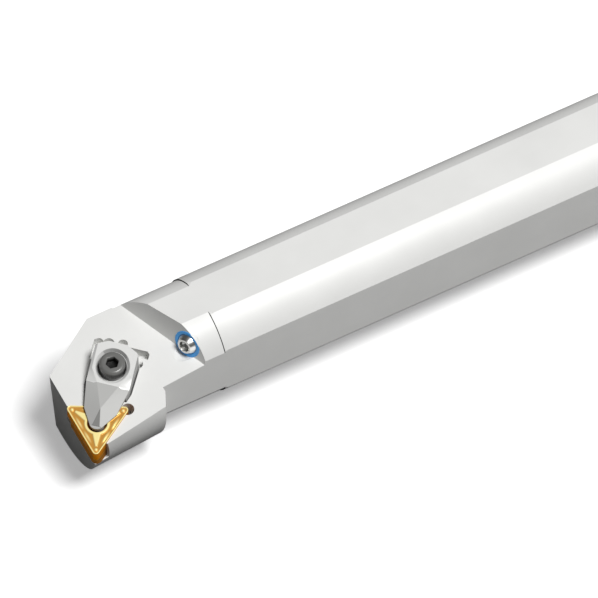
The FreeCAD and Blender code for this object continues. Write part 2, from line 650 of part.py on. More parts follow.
def build_clamp():
    """The hook clamp: a long roofed nose, a ring for the screw, and a foot."""
    clamp = body("clamp", "ClampFrame")
    under = "(insert_proud + clamp_lift_off)"
    low = "(clamp_float - clamp_pocket_depth)"

    # Sections along the clamp: place, half width at the sides, height of the side
    # edges, half width of the roof, height of the roof.
    slope = "(clamp_top - clamp_roof_rise) / (clamp_tail - clamp_ring_front)"
    edge = " - clamp_bevel * clamp_bevel_slope"
    wide_up = "clamp_roof_rise + (clamp_ring_wide - clamp_ring_front) * " + slope
    stations = (
        ("nose_radius_clamp * -0.6", "nose_radius_clamp * 0.8", "clamp_nose_height",
         "nose_radius_clamp / 2", "clamp_nose_height + clamp_nose_roof"),
        ("clamp_ridge_place", "clamp_cheek_half", "clamp_cheek_height", "clamp_ridge_half",
         "clamp_ridge_front"),
        ("clamp_ring_front", "clamp_half_width", "clamp_side_height", "clamp_roof_half",
         "clamp_roof_rise"),
        ("clamp_ring_wide", "clamp_half_width", wide_up + edge,
         "clamp_half_width - clamp_bevel", wide_up),
        ("clamp_tail", "clamp_half_width", "clamp_top" + edge,
         "clamp_half_width - clamp_bevel", "clamp_top"),
    )
    sections = []
    for index, (place, side, side_up, roof, roof_up) in enumerate(stations):
        section = sketch(clamp, "clamp_section_%d" % index,
                         "placement(vector(%s; 0; 0); rotation(90; 0; 90))" % place)
        polygon(section, [
            ("-(%s)" % side, under),
            (side, under),
            (side, side_up),
            (roof, roof_up),
            ("-(%s)" % roof, roof_up),
            ("-(%s)" % side, side_up),
        ])
        sections.append(section)
    roof = clamp.newObject("PartDesign::AdditiveLoft", "clamp_roof")
    roof.Profile = sections[0]
    roof.Sections = sections[1:]
    roof.Ruled = True
    doc.recompute()

    # The body that sits in the pocket, and the foot under its tail.
    front = "clamp_pocket_front + clamp_front_gap"
    narrow = ("clamp_half_width - (clamp_ring_front - (%s)) * (clamp_half_width"
              " - clamp_cheek_half) / (clamp_ring_front - clamp_ridge_place)" % front)
    for name, start, half, base, high in (
            ("clamp_body", front, narrow, low, under + " + clamp_overlap"),
            ("clamp_foot", "clamp_tail - clamp_foot", "clamp_half_width",
             "-clamp_pocket_depth", low + " + clamp_overlap")):
        outline = sketch(clamp, name + "_outline",
                         "placement(vector(0; 0; %s); rotation(0; 0; 0))" % base)
        corners = [
            ("clamp_tail", "-clamp_half_width"),
            ("clamp_tail", "clamp_half_width"),
            (start, half),
            (start, "-(%s)" % half),
        ]
        if half != "clamp_half_width":
            corners.insert(2, ("clamp_ring_front", "clamp_half_width"))
            corners.append(("clamp_ring_front", "-clamp_half_width"))
        polygon(outline, corners)
        pad(clamp, name + "_block", outline, "%s - (%s)" % (high, base))
    corners = sketch(clamp, "tail_corner_outline")
    for side in ("", "-"):
        polygon(corners, [
            ("clamp_tail", side + "clamp_tail_half"),
            ("clamp_tail - clamp_tail_chamfer", side + "clamp_half_width"),
            ("clamp_tail - clamp_tail_chamfer", side + "clamp_half_width * 2"),
            ("clamp_tail + clamp_overlap", side + "clamp_half_width * 2"),
            ("clamp_tail + clamp_overlap", side + "clamp_tail_half"),
        ])
    pocket(clamp, "tail_corners", corners, "clamp_top * 4", both=True)

    # The round end of the hook and the pin that pulls on the insert's hole.
    nose = sketch(clamp, "nose_outline",
                  "placement(vector(0; 0; clamp_nose_height); rotation(0; 0; 0))")
    circle(nose, "0", "0", "nose_radius_clamp")
    pad(clamp, "nose_round", nose, "clamp_nose_height - clamp_nose_foot", reverse=True)
    pin = sketch(clamp, "pin_outline",
                 "placement(vector(0; 0; clamp_nose_height); rotation(0; 0; 0))")
    circle(pin, "insert_hole / 2 - nose_pin_radius - seat_gap / 2", "0", "nose_pin_radius")
    pad(clamp, "nose_pin", pin, "clamp_nose_height - insert_proud + nose_pin_depth",
        reverse=True)

    # Counterbore and hole for the clamp screw.
    bore = sketch(clamp, "screw_hole_profile",
                  "placement(vector(clamp_screw_place; 0; 0); rotation(0; 0; 90))")
    polygon(bore, [
        ("0", "-clamp_pocket_depth - clamp_overlap"),
        ("screw_radius + screw_clear", "-clamp_pocket_depth - clamp_overlap"),
        ("screw_radius + screw_clear", "clamp_floor"),
        ("clamp_bore / 2", "clamp_floor"),
        ("clamp_bore / 2", "clamp_top + clamp_overlap"),
        ("0", "clamp_top + clamp_overlap"),
    ])
    revolve(clamp, "screw_hole", bore, cut=True)

    # The chamfer stands square to the ring's slope.
    tilt = "atan(%s)" % slope
    middle = "clamp_roof_rise + (clamp_screw_place - clamp_ring_front) * " + slope
    cone = sketch(clamp, "screw_rim_profile",
                  "placement(vector(clamp_screw_place; 0; %s);"
                  " rotation(0; -%s; 90))" % (middle, tilt))
    polygon(cone, [
        ("0", "-clamp_rim"),
        ("clamp_bore / 2", "-clamp_rim"),
        ("clamp_bore / 2 + clamp_rim * 2", "clamp_rim"),
        ("0", "clamp_rim"),
    ])
    revolve(clamp, "screw_rim", cone, cut=True)


def build_clamp_screw():
    """Socket head screw that pulls the clamp down."""
    screw = body("clamp_screw")
    screw.setExpression("Placement", "ClampFrame.Placement * " + linked(
        "placement(vector(clamp_screw_place; 0; clamp_floor + screw_seat_gap);"
        " rotation(0; 0; 0))"))
    profile = sketch(screw, "clamp_screw_profile", UPRIGHT)
    polygon(profile, [
        ("0", "-screw_length"),
        ("screw_radius - screw_end", "-screw_length"),
        ("screw_radius", "screw_end - screw_length"),
        ("screw_radius", "0"),
        ("screw_head_radius", "0"),
        ("screw_head_radius", "screw_head_height - screw_head_chamfer"),
        ("screw_head_radius - screw_head_chamfer / 3",
         "screw_head_height - screw_head_chamfer / 3"),
        ("screw_head_radius - screw_head_chamfer", "screw_head_height"),
        ("0", "screw_head_height"),
    ])
    revolve(screw, "clamp_screw_turned", profile)
    drive = sketch(screw, "clamp_screw_drive_outline",
                   "placement(vector(0; 0; screw_head_height); rotation(0; 0; 0))")
    hexagon(drive, "screw_drive")
    pocket(screw, "clamp_screw_socket", drive, "screw_drive_depth")


def build_spring():
    """Coil spring under the clamp; it lifts the clamp when the screw is loosened."""
    spring = body("clamp_spring")
    spring.setExpression("Placement", "ClampFrame.Placement * " + linked(
        "placement(vector(clamp_screw_place; 0; -clamp_pocket_depth - spring_seat_depth);"
        " rotation(0; 0; 0))"))
    wire = sketch(spring, "spring_wire_outline", UPRIGHT)
    around = []
    for corner in range(WIRE_SIDES):
        turn = 360 / WIRE_SIDES * (corner + 0.5)
        around.append(("spring_radius + spring_wire / 2 * cos(%g)" % turn,
                       "spring_wire / 2 * (1 + sin(%g))" % turn))
    polygon(wire, around)
    coil = spring.newObject("PartDesign::AdditiveHelix", "spring_coil")
    coil.Profile = wire
    coil.ReferenceAxis = (wire, ["V_Axis"])
    coil.Mode = "height-turns-angle"
    coil.setExpression("Height", linked("spring_seat_depth + clamp_float - spring_wire"))
    coil.setExpression("Turns", linked("spring_turns"))
    doc.recompute()


def build_nozzle():
    """Coolant nozzle pressed into the run-out wall."""
    nozzle = body("coolant_nozzle", "NozzleFrame")
    profile = sketch(nozzle, "nozzle_profile", UPRIGHT)
    polygon(profile, [
        ("nozzle_jet / 2", "-nozzle_depth"),
        ("nozzle_diameter / 2", "-nozzle_depth"),
        ("nozzle_diameter / 2", "0"),
        ("nozzle_tip / 2", "nozzle_stand"),
        ("nozzle_jet / 2 + ring_edge", "nozzle_stand"),
        ("nozzle_jet / 2", "nozzle_stand - ring_edge"),
    ])
    revolve(nozzle, "nozzle_turned", profile)


def build_ring():
    """Seal ring round the nozzle."""
    ring = body("nozzle_ring", "NozzleFrame")
    outer = "ring_diameter / 2 - nozzle_gap"
    profile = sketch(ring, "ring_profile", UPRIGHT)
    polygon(profile, [
        ("ring_bore / 2", "-ring_depth"),
        (outer, "-ring_depth"),
        (outer, "ring_stand - ring_edge"),
        (outer + " - ring_edge", "ring_stand"),
        ("ring_bore / 2 + ring_edge", "ring_stand"),
        ("ring_bore / 2", "ring_stand - ring_edge"),
    ])
    revolve(ring, "ring_turned", profile)


build_bar()
build_insert()
build_shim()
build_shim_screw()
build_clamp()
build_clamp_screw()
build_spring()
build_nozzle()
build_ring()

doc.recompute()
problems = [item.Name for item in doc.Objects
            if "Invalid" in item.State or "Error" in item.State]
if problems:
    raise RuntimeError("failed objects: " + ", ".join(problems))

os.makedirs("parts", exist_ok=True)
for item in doc.Objects:
    if item.TypeId == "PartDesign::Body":
        if item.Shape.isNull() or not item.Shape.isValid():
            raise RuntimeError(item.Label + " has a bad shape")
        item.Shape.exportStep("parts/%s.step" % item.Label)
        print(item.Label, len(item.Shape.Solids), round(item.Shape.Volume, 1))
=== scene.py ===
import math

import bmesh
import bpy
from mathutils import Matrix, Vector


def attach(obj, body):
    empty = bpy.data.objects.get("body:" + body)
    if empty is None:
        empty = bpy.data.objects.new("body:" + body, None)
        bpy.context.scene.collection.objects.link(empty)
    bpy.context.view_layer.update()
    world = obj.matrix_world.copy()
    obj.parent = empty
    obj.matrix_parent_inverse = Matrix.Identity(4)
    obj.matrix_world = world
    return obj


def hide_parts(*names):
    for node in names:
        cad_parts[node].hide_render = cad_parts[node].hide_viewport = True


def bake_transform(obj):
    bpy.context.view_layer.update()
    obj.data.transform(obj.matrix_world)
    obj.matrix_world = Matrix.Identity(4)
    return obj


bl_info = {
    "name": "Boring bar",
    "version": (1, 0, 0),
    "blender": (4, 5, 0),
    "location": "3D View > Sidebar > Boring bar",
    "description": "Finishes of a boring bar with a clamped insert, and a small studio",
    "category": "Object",
}

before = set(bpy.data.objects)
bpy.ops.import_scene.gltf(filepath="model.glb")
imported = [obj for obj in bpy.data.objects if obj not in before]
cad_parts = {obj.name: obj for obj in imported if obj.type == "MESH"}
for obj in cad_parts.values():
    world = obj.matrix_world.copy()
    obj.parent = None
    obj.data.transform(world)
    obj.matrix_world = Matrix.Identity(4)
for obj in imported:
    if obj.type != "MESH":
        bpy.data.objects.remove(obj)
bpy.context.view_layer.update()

MM = 0.001
# The cutting tip, as in the part's source.
TIP = Vector((-0.3, -0.02866, 0.0))
SIXTY = math.radians(60)

# Steps along curves.
EASE_STEPS = 4
ARC_STEPS = 48
TURN_STEPS = 32
TURNED_SIDES = 96
WIRE_SIDES = 12
CORNER_STEPS = 14
SIDE_STEPS = 44
IN_STEPS = 52

# Lengths from here to the angles are in millimetres.
# Points closer than this are one point, in a finished mesh and before a bevel.
WELD = 0.001
FINE_WELD = 0.0005
# The bar's rounds start this far from its axis.
ROUND_FROM = 19.3
# How far an added piece is sunk into the bar, and how far the painted shade line stands out
# of it.
SUNK = 0.05
PROUD = 0.01
# The clamp's own frame over the top face.
CLAMP_BASE = -0.7
# Along the clamp from the insert's centre: behind the front facet, before the ring, and
# the screw.
FACET_REAR = 4.2
RING_FRONT = 13.2
SCREW_ACROSS = 19.4
# The seat of the screw's head, and over it where the painted shade at the foot of the head is
# full and where it ends.
SCREW_SEAT = 3.0
SCREW_SHADE_FULL = 3.2
SCREW_SHADE_END = 4.5
# Foot of the run-out wall from the cutting tip, and the nozzle up and along that wall.
WALL_FOOT = (48.6, 10.8, -0.7)
NOZZLE_UP = 3.3
NOZZLE_SIDE = 8.75
# The seal ring has the bar's steel this close to the round of the neck.
SEAM = 0.1
# First turn of the inlet's thread, before the end face.
THREAD_START = 0.8
# From the round bump at the insert's corner to the small one behind it.
SECOND_BUMP = 1.6

# Angles of the insert's corners about its centre, the cutting one first.
CORNERS = [math.pi + number * 2 * math.pi / 3 for number in range(3)]
# In degrees: the clamp's facets meet at more than the first, and faces nearer in line
# than the second are one face before a bevel.
FACET_ANGLE = 13
SAME_FACE = 1
# Steps of a turn over which the thread fades out.
THREAD_FADE = 6
# Half widths of the thread's foot and crest, in pitches.
THREAD_FOOT = 0.42
THREAD_CREST = 0.08
# How full a bump of the chip breaker is, and how close its rows lie near the edge.
DOME = 1.25
ROW_SPREAD = 1.25
# A point of the honed edge, in shares of the hone outwards and down.
HONE_OUT = 0.7
HONE_DOWN = 0.3
# Rounded rim of the insert's hole, in shares of the rim inwards and down.
RIM_LINE = ((0.4, 0.12), (0.8, 0.5), (1.0, 1.0))
# How much the hole's mouth narrows below that rim, and how far it then falls to the hole.
MOUTH_TAPER = 0.1
MOUTH_FALL = 0.5
# What a face's normal has upwards on the clamp's ring, upwards and to the front on its
# front facet, and outwards on the blue face of the seal ring.
RING_UP = 0.5
FACET_UP = 0.8
FACET_FRONT = 0.15
SEAL_OUT = 0.7
# The nearest and farthest that the camera sees, in shares of its distance.
CLIP_NEAR = 0.01
CLIP_FAR = 10

# In metres: the floor's half width, and from the tip to what the main lamp aims at.
FLOOR_REACH = 12.0
KEY_AIM = (0.08, 0.03, 0.0)
# The way from there to the main lamp.
KEY_WAY = (0.12, -0.40, 0.91)

# Radius and height in millimetres of the nozzle, from the rear up the outside and down
# the jet, and of the seal ring, with the rounding of their corners.
NOZZLE_LINE = ((2.8, -9), (3.65, -9), (3.65, 0), (2.6, 1.75), (1.95, 1.75), (1.75, 0.4),
               (0.8, -0.5), (0.8, -9), (2.8, -9))
SEAL_LINE = ((4.4, -1), (4.98, -1), (4.98, -0.7), (4.98, -0.4), (4.98, -0.1), (4.98, 0.15),
             (3.75, 0.15), (3.75, -1), (4.4, -1))
NOZZLE_EASE = 0.12
SEAL_EASE = 0.15


def linear(code, alpha=1.0):
    """Turn a hex colour, as seen on a screen, into linear light."""
    parts = [int(code[start:start + 2], 16) / 255 for start in (1, 3, 5)]
    light = [part / 12.92 if part <= 0.04045 else ((part + 0.055) / 1.055) ** 2.4
             for part in parts]
    return (*light, alpha)


def node(tree, kind, settings=None, *sources, **links):
    """Add a shader node with its settings, and feed its inputs in order or by name."""
    made = tree.nodes.new(kind)
    for key, value in (settings or {}).items():
        if hasattr(made, key):
            setattr(made, key, value)
        else:
            made.inputs[key].default_value = value
    for number, source in enumerate(sources):
        if isinstance(source, bpy.types.NodeSocket):
            tree.links.new(source, made.inputs[number])
        else:
            made.inputs[number].default_value = source
    for key, source in links.items():
        tree.links.new(source, made.inputs[key.replace("_", " ")])
    return made


def material(name):
    """Start a material with one principled shader."""
    made = bpy.data.materials.new(name)
    made.use_nodes = True
    tree = made.node_tree
    tree.nodes.clear()
    out = tree.nodes.new("ShaderNodeOutputMaterial")
    shader = tree.nodes.new("ShaderNodeBsdfPrincipled")
    tree.links.new(shader.outputs["BSDF"], out.inputs["Surface"])
    return made, tree, shader


def gloss(shader, metallic, roughness, level=0.5):
    """Set how much a surface mirrors, and how softly."""
    shader.inputs["Metallic"].default_value = metallic
    shader.inputs["Roughness"].default_value = roughness
    shader.inputs["Specular IOR Level"].default_value = level


def above(tree, spot, up):
    """The height over a spot, as a shader node's output."""
    place = node(tree, "ShaderNodeTexCoord")
    away = node(tree, "ShaderNodeVectorMath", {"operation": "SUBTRACT"},
                place.outputs["Object"], spot)
    height = node(tree, "ShaderNodeVectorMath", {"operation": "DOT_PRODUCT"},
                  away.outputs["Vector"], up)
    return height.outputs["Value"]


def paint(name, made):
    """Give a CAD node one material."""
    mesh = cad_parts[name].data
    mesh.materials.clear()
    mesh.materials.append(made)


def piece(name, mesh, stands_for, finish, sharp=30, rides="bar"):
    """Put a mesh with its finish in the scene, in place of a CAD node if one is named."""
    mesh.set_sharp_from_angle(angle=math.radians(sharp))
    thing = bpy.data.objects.new(name, mesh)
    bpy.context.collection.objects.link(thing)
    mesh.materials.append(finish)
    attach(thing, rides)
    if stands_for:
        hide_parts(stands_for)
    return thing


def flat_faces(thing):
    """Keep the large faces flat beside their rounded edges."""
    even = thing.modifiers.new("even", "WEIGHTED_NORMAL")
    even.keep_sharp = True


def eased(corners, most):
    """Round the corners of a line of radius and height, from at most some way off."""
    points = [Vector(corner) for corner in corners]
    line = [points[0]]
    for before, here, after in zip(points, points[1:], points[2:]):
        reach = min(most, (before - here).length / 2, (after - here).length / 2)
        start = here + (before - here).normalized() * reach
        stop = here + (after - here).normalized() * reach
        for step in range(EASE_STEPS + 1):
            share = step / EASE_STEPS
            line.append(start.lerp(here, share).lerp(here.lerp(stop, share), share))
    return line + [points[-1]]


def skin(build, rings, joined=False):
    """Join rings of points into a skin, and join or shut its two ends."""
    following = rings[1:] + rings[:1] if joined else rings[1:]
    for ring, other in zip(rings, following):
        for step in range(len(ring)):
            after = (step + 1) % len(ring)
            build.faces.new((ring[step], ring[after], other[after], other[step]))
    if not joined:
        build.faces.new(rings[0])
        build.faces.new(rings[-1])


def turned_mesh(name, line, place):
    """Turn a closed line of radius and height about the Z axis of a frame."""
    build = bmesh.new()
    rings = []
    for side in range(TURNED_SIDES):
        around = 2 * math.pi * side / TURNED_SIDES
        rings.append([build.verts.new(place @ (Vector((
            radius * math.cos(around), radius * math.sin(around), height)) * MM))
            for radius, height in line])
    skin(build, rings, joined=True)
    return finished_mesh(name, build)


def finished_mesh(name, build):
    """Close a bmesh into a smooth mesh with its normals outwards."""
    bmesh.ops.remove_doubles(build, verts=build.verts, dist=WELD * MM)
    bmesh.ops.recalc_face_normals(build, faces=build.faces)
    for face in build.faces:
        face.smooth = True
    made = bpy.data.meshes.new(name)
    build.to_mesh(made)
    build.free()
    return made


def softened(name, source, width, least=20):
    """The mesh of a CAD node with its edges of at least some degrees rounded."""
    build = bmesh.new()
    build.from_mesh(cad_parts[source].data)
    # In millimetres, because the bevel loses such small lengths in metres.
    bmesh.ops.scale(build, vec=(1 / MM,) * 3, verts=build.verts)
    bmesh.ops.remove_doubles(build, verts=build.verts, dist=FINE_WELD)
    bmesh.ops.dissolve_limit(build, angle_limit=math.radians(SAME_FACE),
                             verts=build.verts, edges=build.edges)
    sharp = [edge for edge in build.edges if len(edge.link_faces) == 2
             and edge.calc_face_angle() > math.radians(least)]
    bmesh.ops.bevel(build, geom=sharp, offset=width / MM, segments=2, profile=0.5,
                    affect="EDGES", clamp_overlap=True)
    bmesh.ops.scale(build, vec=(MM,) * 3, verts=build.verts)
    return finished_mesh(name, build)


class FinishSettings(bpy.types.PropertyGroup):
    """Colours, rounded edges and grain of the finishes."""

    bar_colour: bpy.props.FloatVectorProperty(
        name="Bar", description="Nickel plated steel of the bar", subtype="COLOR",
        size=4, min=0, max=1, default=linear("#E8E8E6"))
    bar_low_colour: bpy.props.FloatVectorProperty(
        name="Bar, duller", description="The duller places of the plating",
        subtype="COLOR", size=4, min=0, max=1, default=linear("#E3E3E1"))
    # The corner colours are painted shade: a dark line that stands for the shadow under the
    # shoulder's step.
    corner_shade_colour: bpy.props.FloatVectorProperty(
        name="Corner", description="Dull plating in the corner under the shoulder",
        subtype="COLOR", size=4, min=0, max=1, default=linear("#6C6C6A"))
    corner_deep_shade_colour: bpy.props.FloatVectorProperty(
        name="Corner, duller", description="The duller spots in that corner",
        subtype="COLOR", size=4, min=0, max=1, default=linear("#4C4C4A"))
    clamp_colour: bpy.props.FloatVectorProperty(
        name="Clamp", description="Satin steel of the clamp", subtype="COLOR",
        size=4, min=0, max=1, default=linear("#B7B7B5"))
    # The ring colour is painted light: paler than the clamp's steel to stand for the light on
    # its upward faces.
    ring_painted_light_colour: bpy.props.FloatVectorProperty(
        name="Clamp ring", description="Milled steel round the clamp screw",
        subtype="COLOR", size=4, min=0, max=1, default=linear("#E9E9E7"))
    # The facet colour is painted shade: darker than the clamp's steel to stand for the shade
    # on the steep front facet.
    facet_painted_shade_colour: bpy.props.FloatVectorProperty(
        name="Clamp facet", description="Blasted steel of the clamp's front facet",
        subtype="COLOR", size=4, min=0, max=1, default=linear("#868684"))
    # The three coating colours carry painted light and shade: pale on the top faces, darker
    # in the hollows and darkest on the flanks, where shade falls.
    coat_lit_colour: bpy.props.FloatVectorProperty(
        name="Coating", description="Golden coating of the insert", subtype="COLOR",
        size=4, min=0, max=1, default=linear("#FFEEA4"))
    coat_hollow_shade_colour: bpy.props.FloatVectorProperty(
        name="Coating below", description="Coating in the hollows of the chip breaker",
        subtype="COLOR", size=4, min=0, max=1, default=linear("#CC9444"))
    coat_flank_shade_colour: bpy.props.FloatVectorProperty(
        name="Coating on the flanks", description="Thinner coating of the flanks",
        subtype="COLOR", size=4, min=0, max=1, default=linear("#C07824"))
    coat_edge_colour: bpy.props.FloatVectorProperty(
        name="Coating at a flat angle", description="Tint of its reflections there",
        subtype="COLOR", size=4, min=0, max=1, default=linear("#FFCE8C"))
    shim_colour: bpy.props.FloatVectorProperty(
        name="Shim", description="Ground carbide", subtype="COLOR",
        size=4, min=0, max=1, default=linear("#9C6A34"))
    screw_colour: bpy.props.FloatVectorProperty(
        name="Screws", description="Black oxide on steel", subtype="COLOR",
        size=4, min=0, max=1, default=linear("#747472"))
    # Painted shade: the dark colour at the foot of a screw head stands for the shadow in its
    # counterbore.
    screw_foot_shade_colour: bpy.props.FloatVectorProperty(
        name="Screws below", description="Oily black oxide at the foot of a head",
        subtype="COLOR", size=4, min=0, max=1, default=linear("#1C1C1B"))
    ring_colour: bpy.props.FloatVectorProperty(
        name="Seal ring", description="Blue plastic of the seal ring", subtype="COLOR",
        size=4, min=0, max=1, default=linear("#44AEFF"))
    nozzle_colour: bpy.props.FloatVectorProperty(
        name="Nozzle", description="Polished stainless steel", subtype="COLOR",
        size=4, min=0, max=1, default=linear("#D8D8D6"))
    clamp_edge: bpy.props.FloatProperty(
        name="Clamp edges", description="Rounding of the clamp's edges", unit="LENGTH",
        default=0.15 * MM, min=0.01 * MM)
    screw_edge: bpy.props.FloatProperty(
        name="Screw edges", description="Rounding of the screws' edges", unit="LENGTH",
        default=0.12 * MM, min=0.01 * MM)
    grind_pitch: bpy.props.FloatProperty(
        name="Grinding lines", description="Distance between the marks of the wheel",
        unit="LENGTH", default=0.35 * MM, min=0.01 * MM)


class StageSettings(bpy.types.PropertyGroup):
    """Camera, floor and lamp."""

    floor_level: bpy.props.FloatProperty(
        name="Floor", description="Height of the floor", unit="LENGTH", default=-26.2 * MM)
    floor_colour: bpy.props.FloatVectorProperty(
        name="Floor colour", description="The floor as it is seen", subtype="COLOR",
        size=4, min=0, max=1, default=linear("#F4F4F4"))
    floor_dim_colour: bpy.props.FloatVectorProperty(
        name="Floor's own light", description="The floor to the light that it throws back",
        subtype="COLOR", size=4, min=0, max=1, default=linear("#303030"))
    floor_glow: bpy.props.FloatProperty(
        name="Floor glow", description="How much the seen floor glows", default=0.35)
    azimuth: bpy.props.FloatProperty(
        name="Azimuth", description="Camera's angle round the bar", subtype="ANGLE",
        default=math.radians(-30))
    elevation: bpy.props.FloatProperty(
        name="Elevation", description="Camera's angle above the horizon", subtype="ANGLE",
        default=math.radians(50))
    lens: bpy.props.FloatProperty(
        name="Lens", description="Focal length, long for a flat view", unit="CAMERA",
        default=1500, min=50)
    view_width: bpy.props.FloatProperty(
        name="View", description="Width of the picture at the cutting tip", unit="LENGTH",
        default=197.52 * MM)
    tip_across: bpy.props.FloatProperty(
        name="Tip across", description="Tip to the picture's middle, to the right",
        unit="LENGTH", default=67.16 * MM)
    tip_up: bpy.props.FloatProperty(
        name="Tip up", description="Tip to the picture's middle, upwards", unit="LENGTH",
        default=52.23 * MM)
    key_strength: bpy.props.FloatProperty(
        name="Main lamp", description="Power of the main lamp", unit="POWER", default=27)
    key_size: bpy.props.FloatProperty(
        name="Lamp size", description="Width of the main lamp, large for soft shadows",
        unit="LENGTH", default=0.6)
    key_distance: bpy.props.FloatProperty(
        name="Lamp distance", description="Cutting end of the bar to the main lamp",
        unit="LENGTH", default=1.6)
    fill_strength: bpy.props.FloatProperty(
        name="World", description="Strength of the even light all round", default=0.08)


class ShankSettings(bpy.types.PropertyGroup):
    """Sizes of the shank, its neck and its coolant inlet."""

    diameter: bpy.props.FloatProperty(
        name="Diameter", description="Round shank", unit="LENGTH", default=40 * MM)
    height: bpy.props.FloatProperty(
        name="Height", description="Across the top and bottom flats", unit="LENGTH",
        default=37 * MM)
    side: bpy.props.FloatProperty(
        name="Side flat", description="Axis to the flat on the tip's side", unit="LENGTH",
        default=17.5 * MM)
    neck: bpy.props.FloatProperty(
        name="Neck", description="Diameter of the neck", unit="LENGTH", default=39.2 * MM)
    neck_end: bpy.props.FloatProperty(
        name="Neck end", description="Cutting tip to the shoulder", unit="LENGTH",
        default=55.8 * MM)
    step_run: bpy.props.FloatProperty(
        name="Step", description="Length of the shoulder's piece", unit="LENGTH",
        default=1.2 * MM)
    # Width of the painted shade line under the shoulder.
    shade_line_width: bpy.props.FloatProperty(
        name="Corner line", description="Dull line in the corner under the shoulder",
        unit="LENGTH", default=0.2 * MM)
    inlet: bpy.props.FloatProperty(
        name="Inlet", description="Bore of the coolant inlet", unit="LENGTH",
        default=11.8 * MM)
    pitch: bpy.props.FloatProperty(
        name="Pitch", description="Pitch of the inlet's thread", unit="LENGTH",
        default=1.34 * MM)
    thread_height: bpy.props.FloatProperty(
        name="Thread height", description="Height of the thread", unit="LENGTH",
        default=0.55 * MM)
    thread_turns: bpy.props.FloatProperty(
        name="Turns", description="Turns of the thread", default=9.5)


class SeatSettings(bpy.types.PropertyGroup):
    """Where the seat, the insert and the nozzle stand on the bar."""

    axial_tilt: bpy.props.FloatProperty(
        name="Axial tilt", description="Fall of the top face to the front",
        subtype="ANGLE", default=math.radians(7))
    radial_tilt: bpy.props.FloatProperty(
        name="Radial tilt", description="Fall of the top face to the tip's side",
        subtype="ANGLE", default=math.radians(10.1))
    lead: bpy.props.FloatProperty(
        name="Lead", description="Cutting edge to the cross direction",
        subtype="ANGLE", default=math.radians(2.57))
    clamp_turn: bpy.props.FloatProperty(
        name="Clamp turn", description="Clamp to the bisector of the insert",
        subtype="ANGLE", default=math.radians(-13.4))
    wall_turn: bpy.props.FloatProperty(
        name="Wall turn", description="Foot of the wall to the cross direction",
        subtype="ANGLE", default=math.radians(20.2))
    wall_lean: bpy.props.FloatProperty(
        name="Wall lean", description="Wall to the normal of the top face",
        subtype="ANGLE", default=math.radians(19.4))


class SpringSettings(bpy.types.PropertyGroup):
    """Sizes of the spring under the clamp."""

    across: bpy.props.FloatProperty(
        name="Place", description="Centre of the insert to the clamp screw",
        unit="LENGTH", default=SCREW_ACROSS * MM)
    below: bpy.props.FloatProperty(
        name="Foot", description="Foot of the spring below the top face",
        unit="LENGTH", default=9.0 * MM)
    height: bpy.props.FloatProperty(
        name="Height", description="Height of the spring", unit="LENGTH",
        default=5.8 * MM)
    radius: bpy.props.FloatProperty(
        name="Radius", description="Centre of the wire", unit="LENGTH", default=3.6 * MM)
    wire: bpy.props.FloatProperty(
        name="Wire", description="Diameter of the wire", unit="LENGTH", default=0.8 * MM)
    turns: bpy.props.FloatProperty(name="Turns", description="Turns of the wire", default=3)


